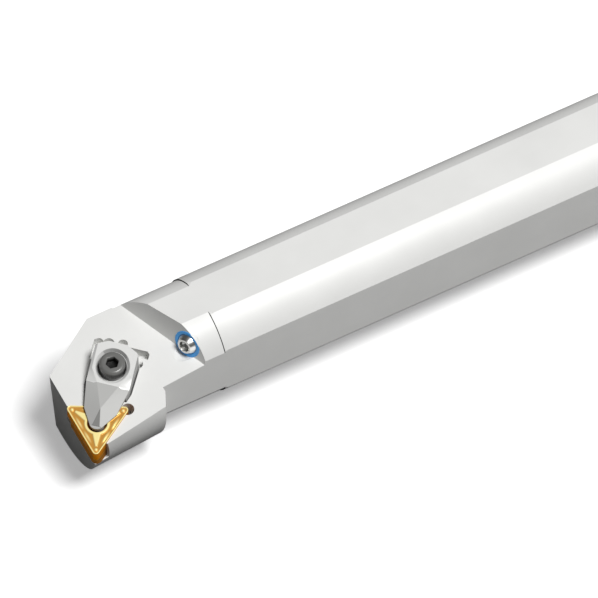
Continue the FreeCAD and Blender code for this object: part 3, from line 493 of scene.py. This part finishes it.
class InsertSettings(bpy.types.PropertyGroup):
    """Sizes of the insert and its chip breaker."""

    circle: bpy.props.FloatProperty(
        name="Circle", description="Inscribed circle", unit="LENGTH", default=12.7 * MM)
    thickness: bpy.props.FloatProperty(
        name="Thickness", description="Over the seating faces", unit="LENGTH",
        default=4.76 * MM)
    corner: bpy.props.FloatProperty(
        name="Corner", description="Radius of the nose", unit="LENGTH", default=1.2 * MM)
    hole: bpy.props.FloatProperty(
        name="Hole", description="Centre hole", unit="LENGTH", default=5.16 * MM)
    mouth: bpy.props.FloatProperty(
        name="Mouth", description="Hole at the seating faces", unit="LENGTH",
        default=7.2 * MM)
    mouth_depth: bpy.props.FloatProperty(
        name="Mouth depth", description="Wider mouth of the hole", unit="LENGTH",
        default=1.7 * MM)
    rim: bpy.props.FloatProperty(
        name="Rim", description="Rounded rim of the hole", unit="LENGTH", default=0.3 * MM)
    hone: bpy.props.FloatProperty(
        name="Hone", description="Rounding of the cutting edge", unit="LENGTH",
        default=0.08 * MM)
    land: bpy.props.FloatProperty(
        name="Land", description="Flat along the cutting edge", unit="LENGTH",
        default=0.2 * MM)
    slope: bpy.props.FloatProperty(
        name="Slope", description="Width of the slope behind the land", unit="LENGTH",
        default=0.5 * MM)
    depth: bpy.props.FloatProperty(
        name="Depth", description="Chip breaker below the land", unit="LENGTH",
        default=0.3 * MM)
    ring: bpy.props.FloatProperty(
        name="Ring", description="Radius of the raised ring", unit="LENGTH",
        default=4.0 * MM)
    star_slope: bpy.props.FloatProperty(
        name="Middle slope", description="Width of the slope round the middle",
        unit="LENGTH", default=0.5 * MM)
    arm_end: bpy.props.FloatProperty(
        name="Arm", description="Centre to the end of an arm", unit="LENGTH",
        default=8.3 * MM)
    arm_tip: bpy.props.FloatProperty(
        name="Arm tip", description="Half width of an arm at its end", unit="LENGTH",
        default=0.16 * MM)
    arm_taper: bpy.props.FloatProperty(
        name="Arm taper", description="Growth of that half width, towards the middle",
        default=0.22)
    lobe_place: bpy.props.FloatProperty(
        name="Lobe place", description="Middle of an edge to a lobe", unit="LENGTH",
        default=2.9 * MM)
    lobe_in: bpy.props.FloatProperty(
        name="Lobe inset", description="Edge to the lobe's middle line", unit="LENGTH",
        default=1.2 * MM)
    lobe_length: bpy.props.FloatProperty(
        name="Lobe length", description="Half of a lobe's length", unit="LENGTH",
        default=3.3 * MM)
    lobe_width: bpy.props.FloatProperty(
        name="Lobe width", description="Half of a lobe's width", unit="LENGTH",
        default=0.7 * MM)
    lobe_height: bpy.props.FloatProperty(
        name="Lobe height", description="Lobe above the floor", unit="LENGTH",
        default=0.25 * MM)
    dot: bpy.props.FloatProperty(
        name="Bump", description="Radius of the round bump at a corner", unit="LENGTH",
        default=0.8 * MM)
    dot_place: bpy.props.FloatProperty(
        name="Bump place", description="Sharp corner to that bump", unit="LENGTH",
        default=2.9 * MM)


def finishes():
    """The colours, edges and grain that are set in the scene."""
    return bpy.context.scene.bar_finishes


def seat_frames():
    """The frames of the insert, the clamp and the nozzle, as in the part's source."""
    seat = bpy.context.scene.bar_seat
    cut = bpy.context.scene.bar_insert
    tip = (Matrix.Translation(TIP) @ Matrix.Rotation(-seat.axial_tilt, 4, "Y")
           @ Matrix.Rotation(seat.radial_tilt, 4, "X"))
    side = SIXTY - seat.lead
    middle = Vector((math.cos(side), math.sin(side), 0)) * cut.circle
    insert = tip @ Matrix.Translation(middle) @ Matrix.Rotation(side, 4, "Z")
    clamp = (insert @ Matrix.Translation((0, 0, CLAMP_BASE * MM))
             @ Matrix.Rotation(seat.clamp_turn, 4, "Z"))
    wall = (tip @ Matrix.Translation(Vector(WALL_FOOT) * MM)
            @ Matrix.Rotation(seat.wall_turn, 4, "Z"))
    rise = NOZZLE_UP * math.tan(seat.wall_lean)
    nozzle = (wall @ Matrix.Translation(Vector((rise, NOZZLE_SIDE, NOZZLE_UP)) * MM)
              @ Matrix.Rotation(seat.wall_lean - math.pi / 2, 4, "Y"))
    return {"insert": insert, "clamp": clamp, "nozzle": nozzle}


def heading(angle):
    """The direction at an angle from the X axis, in a plane."""
    return Vector((math.cos(angle), math.sin(angle)))


def ease(share):
    """A soft step from 0 to 1."""
    share = min(max(share, 0.0), 1.0)
    return share * share * (3 - 2 * share)


def brushed(tree, shader, pitch, depth, along=(1, 1, 1)):
    """Fine tool marks as a bump, drawn out along an axis."""
    place = node(tree, "ShaderNodeTexCoord")
    spread = node(tree, "ShaderNodeMapping", {"Scale": along}, Vector=place.outputs["Object"])
    marks = node(tree, "ShaderNodeTexNoise",
                 {"Scale": 1 / pitch, "Detail": 2.0, "Roughness": 0.6},
                 Vector=spread.outputs["Vector"])
    bump = node(tree, "ShaderNodeBump", {"Strength": 1.0, "Distance": depth},
                Height=marks.outputs["Fac"])
    tree.links.new(bump.outputs["Normal"], shader.inputs["Normal"])


class BARSHOP_OT_bar(bpy.types.Operator):
    """Finish the bar as ground and nickel plated steel"""

    bl_idname = "barshop.bar"
    bl_label = "Bar"

    def execute(self, context):
        # Ground steel under a thin nickel plating: a pale satin skin that goes from light
        # to dark softly round the bar, with the wheel's fine marks showing through.
        made, tree, shader = material("nickel_plated_ground_steel")
        gloss(shader, metallic=0.06, roughness=0.4, level=0.0)
        self.ground(tree, shader)
        paint("bar", made)
        shank = context.scene.bar_shank
        shoulder = piece("neck_shoulder", self.shoulder(shank), None, made)
        # The dark line under the shoulder is painted shade.
        self.corner(shoulder.data, TIP.x + shank.neck_end)
        piece("inlet_thread", self.thread(shank), None, made, sharp=40)
        return {"FINISHED"}

    def ground(self, tree, shader):
        """Marks of the wheel: round the shank on its rounds, and along its flats."""
        place = node(tree, "ShaderNodeTexCoord")
        across = node(tree, "ShaderNodeVectorMath", {"operation": "MULTIPLY"},
                      place.outputs["Object"], (0, 1, 1))
        radius = node(tree, "ShaderNodeVectorMath", {"operation": "LENGTH"},
                      across.outputs["Vector"])
        rounds = node(tree, "ShaderNodeMath", {"operation": "GREATER_THAN"},
                      radius.outputs["Value"], ROUND_FROM * MM)
        # Real marks are 0.02 to 0.05 mm apart, drawn at a third of a millimetre to show.
        # They are drawn out along the flats, and round the rounds.
        marks = []
        for along in ((0.012, 1, 1), (1, 0.03, 0.03)):
            drawn = node(tree, "ShaderNodeMapping", {"Scale": along},
                         Vector=place.outputs["Object"])
            marks.append(node(tree, "ShaderNodeTexNoise",
                              {"Scale": 1 / finishes().grind_pitch, "Detail": 3.0,
                               "Roughness": 0.65}, Vector=drawn.outputs["Vector"]))
        both = node(tree, "ShaderNodeMix", {"data_type": "FLOAT"},
                    Factor=rounds.outputs["Value"], A=marks[0].outputs["Fac"],
                    B=marks[1].outputs["Fac"])
        bump = node(tree, "ShaderNodeBump", {"Strength": 1.0, "Distance": 0.002 * MM},
                    Height=both.outputs["Result"])
        tree.links.new(bump.outputs["Normal"], shader.inputs["Normal"])
        # The plating is a little uneven in tone and gloss, over some centimetres.
        cloud = node(tree, "ShaderNodeTexNoise", {"Scale": 1 / (18 * MM), "Detail": 3.0},
                     Vector=place.outputs["Object"])
        tone = node(tree, "ShaderNodeValToRGB", Fac=cloud.outputs["Fac"])
        tone.color_ramp.elements[0].position = 0.3
        tone.color_ramp.elements[0].color = finishes().bar_low_colour
        tone.color_ramp.elements[1].position = 0.7
        tone.color_ramp.elements[1].color = finishes().bar_colour
        tree.links.new(tone.outputs["Color"], shader.inputs["Base Color"])
        sheen = node(tree, "ShaderNodeMapRange", {"To Min": 0.37, "To Max": 0.45},
                     Value=both.outputs["Result"])
        tree.links.new(sheen.outputs["Result"], shader.inputs["Roughness"])

    def shoulder(self, shank):
        """The sharp shoulder where the neck steps up to the full shank."""
        small, large = shank.neck / 2, shank.diameter / 2 - PROUD * MM
        start = TIP.x + shank.neck_end
        stop = start + shank.step_run
        # A thin strip just before the shoulder carries the painted shade line.
        line = start - shank.shade_line_width
        corners = ((line, small - SUNK * MM), (line, small + PROUD * MM),
                   (start, small + PROUD * MM), (start, large), (stop, large))
        top, side = shank.height / 2, shank.side
        build = bmesh.new()
        # The three rounds between the flats, as first and last angle at a radius.
        arcs = (lambda r: (-math.asin(top / r), math.asin(top / r)),
                lambda r: (math.pi - math.asin(top / r), math.acos(-side / r)),
                lambda r: (-math.pi + math.asin(top / r), -math.acos(-side / r)))
        for arc in arcs:
            rings = []
            for step in range(ARC_STEPS + 1):
                ring = []
                for x, radius in corners:
                    low, high = arc(radius)
                    around = low + (high - low) * step / ARC_STEPS
                    ring.append(build.verts.new(
                        (x, radius * math.cos(around), radius * math.sin(around))))
                rings.append(ring)
            skin(build, rings)
        return finished_mesh("neck_shoulder", build)

    def corner(self, mesh, start):
        """A painted shade line in the corner under the shoulder, standing for the step's
        shadow.
        """
        # Painted shade: plated steel coloured dark and matt to stand for the shadow in the
        # corner under the step, with spots of a millimetre and a half.
        shade_line_finish, tree, shader = material("painted_shade_line_steel")
        gloss(shader, metallic=0.06, roughness=0.6, level=0.0)
        place = node(tree, "ShaderNodeTexCoord")
        spots = node(tree, "ShaderNodeTexNoise", {"Scale": 1 / (1.5 * MM)},
                     Vector=place.outputs["Object"])
        ramp = node(tree, "ShaderNodeValToRGB", Fac=spots.outputs["Fac"])
        ramp.color_ramp.elements[0].color = finishes().corner_deep_shade_colour
        ramp.color_ramp.elements[1].color = finishes().corner_shade_colour
        tree.links.new(ramp.outputs["Color"], shader.inputs["Base Color"])
        mesh.materials.append(shade_line_finish)
        for face in mesh.polygons:
            if face.center.x < start + PROUD * MM:
                face.material_index = 1

    def thread(self, shank):
        """Thread of the coolant inlet, as one ridge along its bore."""
        bore, pitch = shank.inlet / 2, shank.pitch
        build = bmesh.new()
        rings = []
        steps = int(shank.thread_turns * TURN_STEPS)
        for step in range(steps + 1):
            around = 2 * math.pi * step / TURN_STEPS
            back = -THREAD_START * MM - pitch * step / TURN_STEPS
            fade = min(1.0, step / THREAD_FADE, (steps - step) / THREAD_FADE)
            foot, crest = bore + SUNK * MM, bore - shank.thread_height * fade
            ring = []
            for radius, off in ((foot, THREAD_FOOT), (crest, THREAD_CREST),
                                (crest, -THREAD_CREST), (foot, -THREAD_FOOT)):
                ring.append(build.verts.new((back + off * pitch, radius * math.cos(around),
                                             radius * math.sin(around))))
            rings.append(ring)
        skin(build, rings)
        return finished_mesh("inlet_thread", build)


class BARSHOP_OT_insert(bpy.types.Operator):
    """Finish the insert as coated carbide, and the shim as bare carbide"""

    bl_idname = "barshop.insert"
    bl_label = "Insert and shim"

    def execute(self, context):
        # Sintered carbide with a vapour-grown coating a few thousandths of a millimetre
        # thick: a golden skin with painted light, pale on the raised places and darker in the
        # hollows and on the flanks as painted shade, that stays golden at a flat angle too.
        made, tree, shader = material("titanium_nitride_coated_carbide")
        gloss(shader, metallic=0.12, roughness=0.3, level=0.0)
        shader.inputs["Specular Tint"].default_value = finishes().coat_edge_colour
        self.coating(tree, shader)
        cut = context.scene.bar_insert
        place = seat_frames()["insert"]
        piece("insert_relief", self.shape(cut, place), "insert", made)
        # Ground carbide, browned by heat: a dull bronze skin with fine scratches in one
        # direction, drawn at a quarter of a millimetre to show.
        bare, tree, shader = material("ground_carbide")
        gloss(shader, metallic=0.25, roughness=0.45, level=0.0)
        shader.inputs["Base Color"].default_value = finishes().shim_colour
        shader.inputs["Specular Tint"].default_value = finishes().coat_edge_colour
        brushed(tree, shader, pitch=0.25 * MM, depth=0.004 * MM, along=(0.1, 1, 1))
        paint("shim", bare)
        return {"FINISHED"}

    def coating(self, tree, shader):
        """Painted light and shade: brighter on the raised places than in the hollows, and
        darker still on the flanks.
        """
        cut = bpy.context.scene.bar_insert
        seat = seat_frames()["insert"]
        middle = seat @ Vector((0, 0, -cut.thickness / 2))
        level = node(tree, "ShaderNodeMath", {"operation": "ABSOLUTE"},
                     above(tree, middle, seat.to_3x3() @ Vector((0, 0, 1))))
        # Both faces are alike: the hollows' painted shade is one groove depth below a face,
        # and the flanks' darker painted shade begins at three.
        share = node(tree, "ShaderNodeMapRange", {
            "From Min": cut.thickness / 2 - 3 * cut.depth, "From Max": cut.thickness / 2},
            Value=level.outputs["Value"])
        ramp = node(tree, "ShaderNodeValToRGB", Fac=share.outputs["Result"])
        ramp.color_ramp.elements[0].color = finishes().coat_flank_shade_colour
        ramp.color_ramp.elements[1].color = finishes().coat_lit_colour
        groove = ramp.color_ramp.elements.new(2 / 3)
        groove.color = finishes().coat_hollow_shade_colour
        # The flanks are ground before they are coated, so they shine more than the top.
        shine = node(tree, "ShaderNodeMapRange", {"To Min": 0.3, "To Max": 0.12},
                     Value=share.outputs["Result"])
        tree.links.new(shine.outputs["Result"], shader.inputs["Metallic"])
        # Carbide grit is a few thousandths of a millimetre, drawn at 0.15 mm to show.
        place = node(tree, "ShaderNodeTexCoord")
        grit = node(tree, "ShaderNodeTexNoise", {"Scale": 1 / (0.15 * MM), "Detail": 3.0},
                    Vector=place.outputs["Object"])
        bump = node(tree, "ShaderNodeBump", {"Strength": 1.0, "Distance": 0.004 * MM},
                    Height=grit.outputs["Fac"])
        tree.links.new(bump.outputs["Normal"], shader.inputs["Normal"])
        tree.links.new(ramp.outputs["Color"], shader.inputs["Base Color"])

    def outline(self, cut, inset):
        """The rounded triangle seen from above, one corner at -X."""
        corner = cut.corner - inset
        middle = cut.circle - 2 * cut.corner
        points = []
        for turn in CORNERS:
            centre = heading(turn) * middle
            for step in range(CORNER_STEPS + 1):
                around = turn + SIXTY * (2 * step / CORNER_STEPS - 1)
                points.append(centre + heading(around) * corner)
            start, after = points[-1], turn + 2 * math.pi / 3
            stop = heading(after) * middle + heading(after - SIXTY) * corner
            points += [start.lerp(stop, step / SIDE_STEPS) for step in range(1, SIDE_STEPS)]
        return points

    def depth_at(self, cut, point):
        """How far the chip breaker lies below the cutting edge at a point."""
        reach = point.length
        best = None
        for turn in CORNERS:
            along = heading(turn)
            ahead = point.dot(along)
            if best is None or ahead > best[0]:
                best = (ahead, abs(point.cross(along)))
        ahead, aside = best
        # Distance in from the nearer edge, round the corner near the nose.
        edge = cut.circle / 2 - (ahead * 0.5 + aside * math.sin(SIXTY))
        nose = cut.circle - 2 * cut.corner
        off_nose = Vector((ahead - nose, aside))
        if ahead > nose and off_nose.y < off_nose.x * math.tan(SIXTY):
            edge = cut.corner - off_nose.length
        land = 1 - ease((edge - cut.land) / cut.slope)
        # The middle is a ring round the hole with an arm to each corner.
        ring = cut.ring - reach
        arm = min(cut.arm_tip + (cut.arm_end - ahead) * cut.arm_taper - aside,
                  cut.arm_end - ahead) if ahead > 0 else -1.0
        star = ease(1 + max(ring, arm) / cut.star_slope)
        # Low lobes along the edges, two to a side.
        beside = ahead * math.sin(SIXTY) - aside * 0.5
        lobe_on = (beside - cut.lobe_place) / cut.lobe_length
        lobe_in = (edge - cut.lobe_in) / cut.lobe_width
        lobe = cut.lobe_height * ease(1 - math.hypot(lobe_on, lobe_in))
        # A round bump at the corner, and a smaller one behind it.
        bump = 0.0
        for spot, radius in ((cut.dot_place, cut.dot),
                             (cut.dot_place + SECOND_BUMP * MM, cut.dot / 2)):
            off = Vector((cut.circle - spot - ahead, aside)).length / radius
            bump = max(bump, ease(DOME * (1 - off)))
        floor = -cut.depth * (1 - max(land, star))
        return max(floor + lobe * (1 - max(land, star)), -cut.depth * (1 - bump))

    def shape(self, cut, place):
        """The insert with its chip breaker on both faces, as one closed skin."""
        hole, mouth = cut.hole / 2, cut.mouth / 2
        outer = self.outline(cut, 0.0)
        land = self.outline(cut, cut.hone)
        build = bmesh.new()
        rows = []
        for upwards in (True, False):
            level = 0.0 if upwards else -cut.thickness
            sign = 1 if upwards else -1
            # From the cutting edge in to the mouth of the hole.
            half = []
            for step in range(IN_STEPS + 1):
                share = (step / IN_STEPS) ** ROW_SPREAD
                ring = []
                for point in land:
                    inner = point.normalized() * mouth
                    spot = point.lerp(inner, share)
                    ring.append(Vector((*spot, level + sign * self.depth_at(cut, spot))))
                half.append(ring)
            # Over the rounded rim, down a mouth that narrows a little, and in to the hole.
            throat = mouth - cut.rim
            slope = [(mouth - across * cut.rim, down * cut.rim) for across, down in RIM_LINE]
            slope += [(throat - MOUTH_TAPER * cut.rim, cut.mouth_depth),
                      (hole, cut.mouth_depth + MOUTH_FALL * cut.rim)]
            for radius, down in slope:
                half.append([Vector((*(point.normalized() * radius), level - sign * down))
                             for point in land])
            rim = [Vector((*point, level - sign * cut.hone)) for point in outer]
            soft = [Vector((*inside.to_2d().lerp(outside.to_2d(), HONE_OUT),
                            level - sign * HONE_DOWN * cut.hone))
                    for inside, outside in zip(half[0], rim)]
            half = [rim, soft] + half
            rows += half if upwards else half[::-1]
        # The rows go from the top rim to the hole, down it, and out to the lower rim.
        rings = [[build.verts.new(place @ point) for point in row] for row in rows]
        skin(build, rings, joined=True)
        return finished_mesh("insert_relief", build)


class BARSHOP_OT_clamp(bpy.types.Operator):
    """Finish the clamp as satin steel, and its screws as black oxide"""

    bl_idname = "barshop.clamp"
    bl_label = "Clamp and screws"

    def execute(self, context):
        # Hardened steel, finely blasted: an even light grey without streaks. The grain is
        # a few hundredths of a millimetre, drawn at a fifth of a millimetre to show.
        made, tree, shader = material("satin_hardened_steel")
        gloss(shader, metallic=0.06, roughness=0.45, level=0.0)
        shader.inputs["Base Color"].default_value = finishes().clamp_colour
        brushed(tree, shader, pitch=0.2 * MM, depth=0.004 * MM)
        width = finishes().clamp_edge
        mesh = softened("clamp_softened", "clamp", width, least=FACET_ANGLE)
        clamp = piece("clamp_softened", mesh, "clamp", made, rides="clamp",
                      sharp=FACET_ANGLE)
        flat_faces(clamp)
        self.dress(clamp.data)
        # Steel blackened in a hot bath and oiled: a dark skin with a soft shine on its
        # rounded edges, slightly mottled where the oil has dried.
        black, tree, shader = material("black_oxide_steel")
        gloss(shader, metallic=0.15, roughness=0.3, level=0.3)
        # The foot of each head is darkened here as painted shade.
        self.oxide(tree, shader)
        brushed(tree, shader, pitch=0.3 * MM, depth=0.003 * MM)
        width = finishes().screw_edge
        piece("clamp_screw_softened", softened("clamp_screw_softened", "clamp_screw", width),
              "clamp_screw", black, rides="screw")
        piece("shim_screw_softened", softened("shim_screw_softened", "shim_screw", width),
              "shim_screw", black)
        # Wire drawn through a die: bright steel with fine lines along it, drawn at a
        # fifth of a millimetre to show.
        wire, tree, shader = material("drawn_spring_wire")
        gloss(shader, metallic=1.0, roughness=0.35)
        shader.inputs["Base Color"].default_value = finishes().nozzle_colour
        brushed(tree, shader, pitch=0.2 * MM, depth=0.002 * MM, along=(1, 1, 0.2))
        self.spring(context.scene.bar_spring, wire)
        return {"FINISHED"}

    def oxide(self, tree, shader):
        """Black oxide, with painted shade darkening it toward the shaft, down in the
        counterbore.
        """
        seat = seat_frames()["clamp"]
        foot = seat @ Vector((SCREW_ACROSS * MM, 0, SCREW_SEAT * MM))
        share = node(tree, "ShaderNodeMapRange",
                     {"From Min": SCREW_SHADE_FULL * MM, "From Max": SCREW_SHADE_END * MM},
                     Value=above(tree, foot, seat.to_3x3() @ Vector((0, 0, 1))))
        ramp = node(tree, "ShaderNodeValToRGB", Fac=share.outputs["Result"])
        ramp.color_ramp.elements[0].color = finishes().screw_foot_shade_colour
        ramp.color_ramp.elements[1].color = finishes().screw_colour
        tree.links.new(ramp.outputs["Color"], shader.inputs["Base Color"])

    def spring(self, coil, wire):
        """The lifting spring, between the bar and the clamp."""
        place = seat_frames()["clamp"] @ Matrix.Translation((coil.across, 0, -coil.below))
        build = bmesh.new()
        steps = int(coil.turns * TURN_STEPS)
        rings = []
        for step in range(steps + 1):
            around = 2 * math.pi * step / TURN_STEPS
            rise = coil.wire / 2 + (coil.height - coil.wire) * step / steps
            ring = []
            for side in range(WIRE_SIDES):
                about = 2 * math.pi * side / WIRE_SIDES
                radius = coil.radius + coil.wire / 2 * math.cos(about)
                ring.append(build.verts.new(place @ Vector((
                    radius * math.cos(around), radius * math.sin(around),
                    rise + coil.wire / 2 * math.sin(about)))))
            rings.append(ring)
        skin(build, rings)
        mesh = finished_mesh("lifting_spring", build)
        mesh.materials.append(wire)
        mesh.set_sharp_from_angle(angle=math.radians(40))
        spring = bpy.data.objects.new("lifting_spring", mesh)
        bpy.context.collection.objects.link(spring)
        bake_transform(spring)
        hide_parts("clamp_spring")

    def dress(self, mesh):
        """Give the machined ring its painted light and the small front facet its painted
        shade.
        """
        # Milled hardened steel: shinier than the blasted body, and coloured paler as painted
        # light on the upward faces round the screw. The cutter's marks are fine arcs, drawn
        # as a grain of a third of a millimetre.
        ring, tree, shader = material("milled_steel_painted_light")
        gloss(shader, metallic=0.2, roughness=0.35, level=0.0)
        shader.inputs["Base Color"].default_value = finishes().ring_painted_light_colour
        brushed(tree, shader, pitch=0.3 * MM, depth=0.003 * MM, along=(1, 0.3, 1))
        # Painted shade: the small front facet is coloured darker than the rest to stand for
        # the shade it falls in, and it is rougher and coarser, with a grain drawn at a
        # quarter of a millimetre to show.
        facet, tree, shader = material("painted_shade_facet_steel")
        gloss(shader, metallic=0.06, roughness=0.55, level=0.0)
        shader.inputs["Base Color"].default_value = finishes().facet_painted_shade_colour
        brushed(tree, shader, pitch=0.25 * MM, depth=0.008 * MM)
        mesh.materials.append(ring)
        mesh.materials.append(facet)
        # The ring looks up and gets the painted light, and the facet looks up and to the
        # front and gets the painted shade.
        back = seat_frames()["clamp"].inverted()
        turn = back.to_3x3()
        for face in mesh.polygons:
            along = (back @ face.center).x / MM
            way = turn @ face.normal
            to_front = way.x < -FACET_FRONT and abs(way.y) < FACET_FRONT
            if along > RING_FRONT and way.z > RING_UP:
                face.material_index = 1
            elif along < FACET_REAR and way.z > FACET_UP and to_front:
                face.material_index = 2


class BARSHOP_OT_nozzle(bpy.types.Operator):
    """Finish the coolant nozzle and its seal ring"""

    bl_idname = "barshop.nozzle"
    bl_label = "Coolant nozzle"

    def execute(self, context):
        place = seat_frames()["nozzle"]
        # Turned and polished stainless steel: it mirrors what is round it softly, with
        # the faintest unevenness left by the wheel, over about a millimetre.
        made, tree, shader = material("polished_stainless_steel")
        gloss(shader, metallic=1.0, roughness=0.28)
        shader.inputs["Base Color"].default_value = finishes().nozzle_colour
        brushed(tree, shader, pitch=1.2 * MM, depth=0.002 * MM)
        line = eased(NOZZLE_LINE, NOZZLE_EASE)[:-1]
        piece("nozzle_turned", turned_mesh("nozzle_turned", line, place), "coolant_nozzle",
              made)
        # Moulded plastic: one even colour with a soft gloss, from the mould's fine grain,
        # which is drawn at a quarter of a millimetre to show.
        blue, tree, shader = material("blue_moulded_plastic")
        gloss(shader, metallic=0.0, roughness=0.35)
        shader.inputs["Base Color"].default_value = finishes().ring_colour
        brushed(tree, shader, pitch=0.25 * MM, depth=0.002 * MM)
        line = eased(SEAL_LINE, SEAL_EASE)[:-1]
        mesh = turned_mesh("nozzle_seal", line, place)
        self.trim(mesh, place, context.scene.bar_shank.neck / 2)
        piece("nozzle_seal", mesh, "nozzle_ring", blue)
        mesh.materials.append(bpy.data.materials["nickel_plated_ground_steel"])
        return {"FINISHED"}

    def trim(self, mesh, place, neck):
        """Bring the ring in to the round of the neck, with steel where that shows."""
        for corner in mesh.vertices:
            reach = math.hypot(corner.co.y, corner.co.z)
            if reach > neck:
                corner.co.y *= neck / reach
                corner.co.z *= neck / reach
        mesh.update()
        out = place.to_3x3() @ Vector((0, 0, 1))
        for face in mesh.polygons:
            reach = math.hypot(face.center.y, face.center.z)
            at_neck = reach > neck - SEAM * MM
            if at_neck and face.normal.dot(out) < SEAL_OUT:
                face.material_index = 1


class BARSHOP_OT_stage(bpy.types.Operator):
    """Set up the floor, the lamp, the world and the camera"""

    bl_idname = "barshop.stage"
    bl_label = "Stage"

    def execute(self, context):
        stage = context.scene.bar_stage
        context.scene.view_settings.view_transform = "Standard"
        self.floor(stage)
        self.lamp(stage)
        self.camera(context, stage)
        return {"FINISHED"}

    def floor(self, stage):
        """A pale floor that looks white and keeps the part's shadow."""
        # Seen by the camera, in a mirror or through glass it is white and glows a little.
        # To all other light it is dim, so that it doesn't light the bar from below.
        mesh = bpy.data.meshes.new("floor")
        reach = FLOOR_REACH
        corners = [(-reach, -reach), (reach, -reach), (reach, reach), (-reach, reach)]
        mesh.from_pydata([(x, y, stage.floor_level) for x, y in corners], [], [(0, 1, 2, 3)])
        floor = bpy.data.objects.new("floor", mesh)
        bpy.context.collection.objects.link(floor)
        made = bpy.data.materials.new("pale_studio_floor")
        made.use_nodes = True
        tree = made.node_tree
        tree.nodes.clear()
        out = tree.nodes.new("ShaderNodeOutputMaterial")
        path = node(tree, "ShaderNodeLightPath")
        seen = node(tree, "ShaderNodeMath", {"operation": "MAXIMUM"},
                    path.outputs["Is Camera Ray"], path.outputs["Is Glossy Ray"])
        also = node(tree, "ShaderNodeMath", {"operation": "MAXIMUM"},
                    seen.outputs["Value"], path.outputs["Is Transmission Ray"])
        dim = node(tree, "ShaderNodeBsdfDiffuse", {"Color": stage.floor_dim_colour})
        white = node(tree, "ShaderNodeBsdfDiffuse", {"Color": stage.floor_colour})
        glow = node(tree, "ShaderNodeEmission",
                    {"Color": (1, 1, 1, 1), "Strength": stage.floor_glow})
        both = node(tree, "ShaderNodeAddShader", None, white.outputs["BSDF"],
                    glow.outputs["Emission"])
        mix = node(tree, "ShaderNodeMixShader", None, also.outputs["Value"],
                   dim.outputs["BSDF"], both.outputs["Shader"])
        tree.links.new(mix.outputs["Shader"], out.inputs["Surface"])
        mesh.materials.append(made)

    def lamp(self, stage):
        """One large soft lamp above the near side, and an even dim world."""
        data = bpy.data.lights.new("main_lamp", "AREA")
        data.shape = "SQUARE"
        data.size = stage.key_size
        data.energy = stage.key_strength
        lamp = bpy.data.objects.new("main_lamp", data)
        bpy.context.collection.objects.link(lamp)
        way = Vector(KEY_WAY).normalized()
        lamp.location = TIP + Vector(KEY_AIM) + way * stage.key_distance
        lamp.rotation_mode = "QUATERNION"
        lamp.rotation_quaternion = way.to_track_quat("Z", "Y")
        world = bpy.data.worlds.new("studio_air")
        bpy.context.scene.world = world
        world.use_nodes = True
        shade = world.node_tree.nodes["Background"]
        shade.inputs["Color"].default_value = (1, 1, 1, 1)
        shade.inputs["Strength"].default_value = stage.fill_strength

    def camera(self, context, stage):
        """A long lens from the near side, above the head."""
        around, rise = stage.azimuth, stage.elevation
        back = Vector((math.sin(around) * math.cos(rise),
                       -math.cos(around) * math.cos(rise), math.sin(rise)))
        right = Vector((math.cos(around), math.sin(around), 0))
        up = back.cross(right)
        data = bpy.data.cameras.new("camera")
        data.lens = stage.lens
        distance = stage.view_width * data.lens / data.sensor_width
        camera = bpy.data.objects.new("camera", data)
        context.collection.objects.link(camera)
        camera.location = TIP + right * stage.tip_across + up * stage.tip_up + back * distance
        camera.rotation_mode = "QUATERNION"
        camera.rotation_quaternion = (-back).to_track_quat("-Z", "Y")
        data.clip_start = distance * CLIP_NEAR
        data.clip_end = distance * CLIP_FAR
        context.scene.camera = camera


class BARSHOP_PT_panel(bpy.types.Panel):
    """Lists the settings and the steps in the sidebar"""

    bl_idname = "BARSHOP_PT_panel"
    bl_label = "Boring bar"
    bl_space_type = "VIEW_3D"
    bl_region_type = "UI"
    bl_category = "Boring bar"

    def draw(self, context):
        for name in SETTINGS:
            settings = getattr(context.scene, name)
            for key in settings.__annotations__:
                self.layout.prop(settings, key)
        for step in STEPS:
            self.layout.operator(step)


STEPS = ("barshop.bar", "barshop.insert", "barshop.clamp", "barshop.nozzle", "barshop.stage")
SETTINGS = {
    "bar_finishes": FinishSettings, "bar_shank": ShankSettings, "bar_seat": SeatSettings,
    "bar_spring": SpringSettings, "bar_insert": InsertSettings, "bar_stage": StageSettings,
}
CLASSES = (*SETTINGS.values(), BARSHOP_OT_bar, BARSHOP_OT_insert, BARSHOP_OT_clamp,
           BARSHOP_OT_nozzle, BARSHOP_OT_stage, BARSHOP_PT_panel)


def register():
    """Add the classes and settings to Blender."""
    for each in CLASSES:
        bpy.utils.register_class(each)
    for name, kind in SETTINGS.items():
        setattr(bpy.types.Scene, name, bpy.props.PointerProperty(type=kind))


def unregister():
    """Take them out again."""
    for name in SETTINGS:
        delattr(bpy.types.Scene, name)
    for each in reversed(CLASSES):
        bpy.utils.unregister_class(each)


def main():
    """Run every step in order."""
    register()
    for step in STEPS:
        group, name = step.split(".")
        getattr(getattr(bpy.ops, group), name)()


if __name__ == "__main__":
    main()
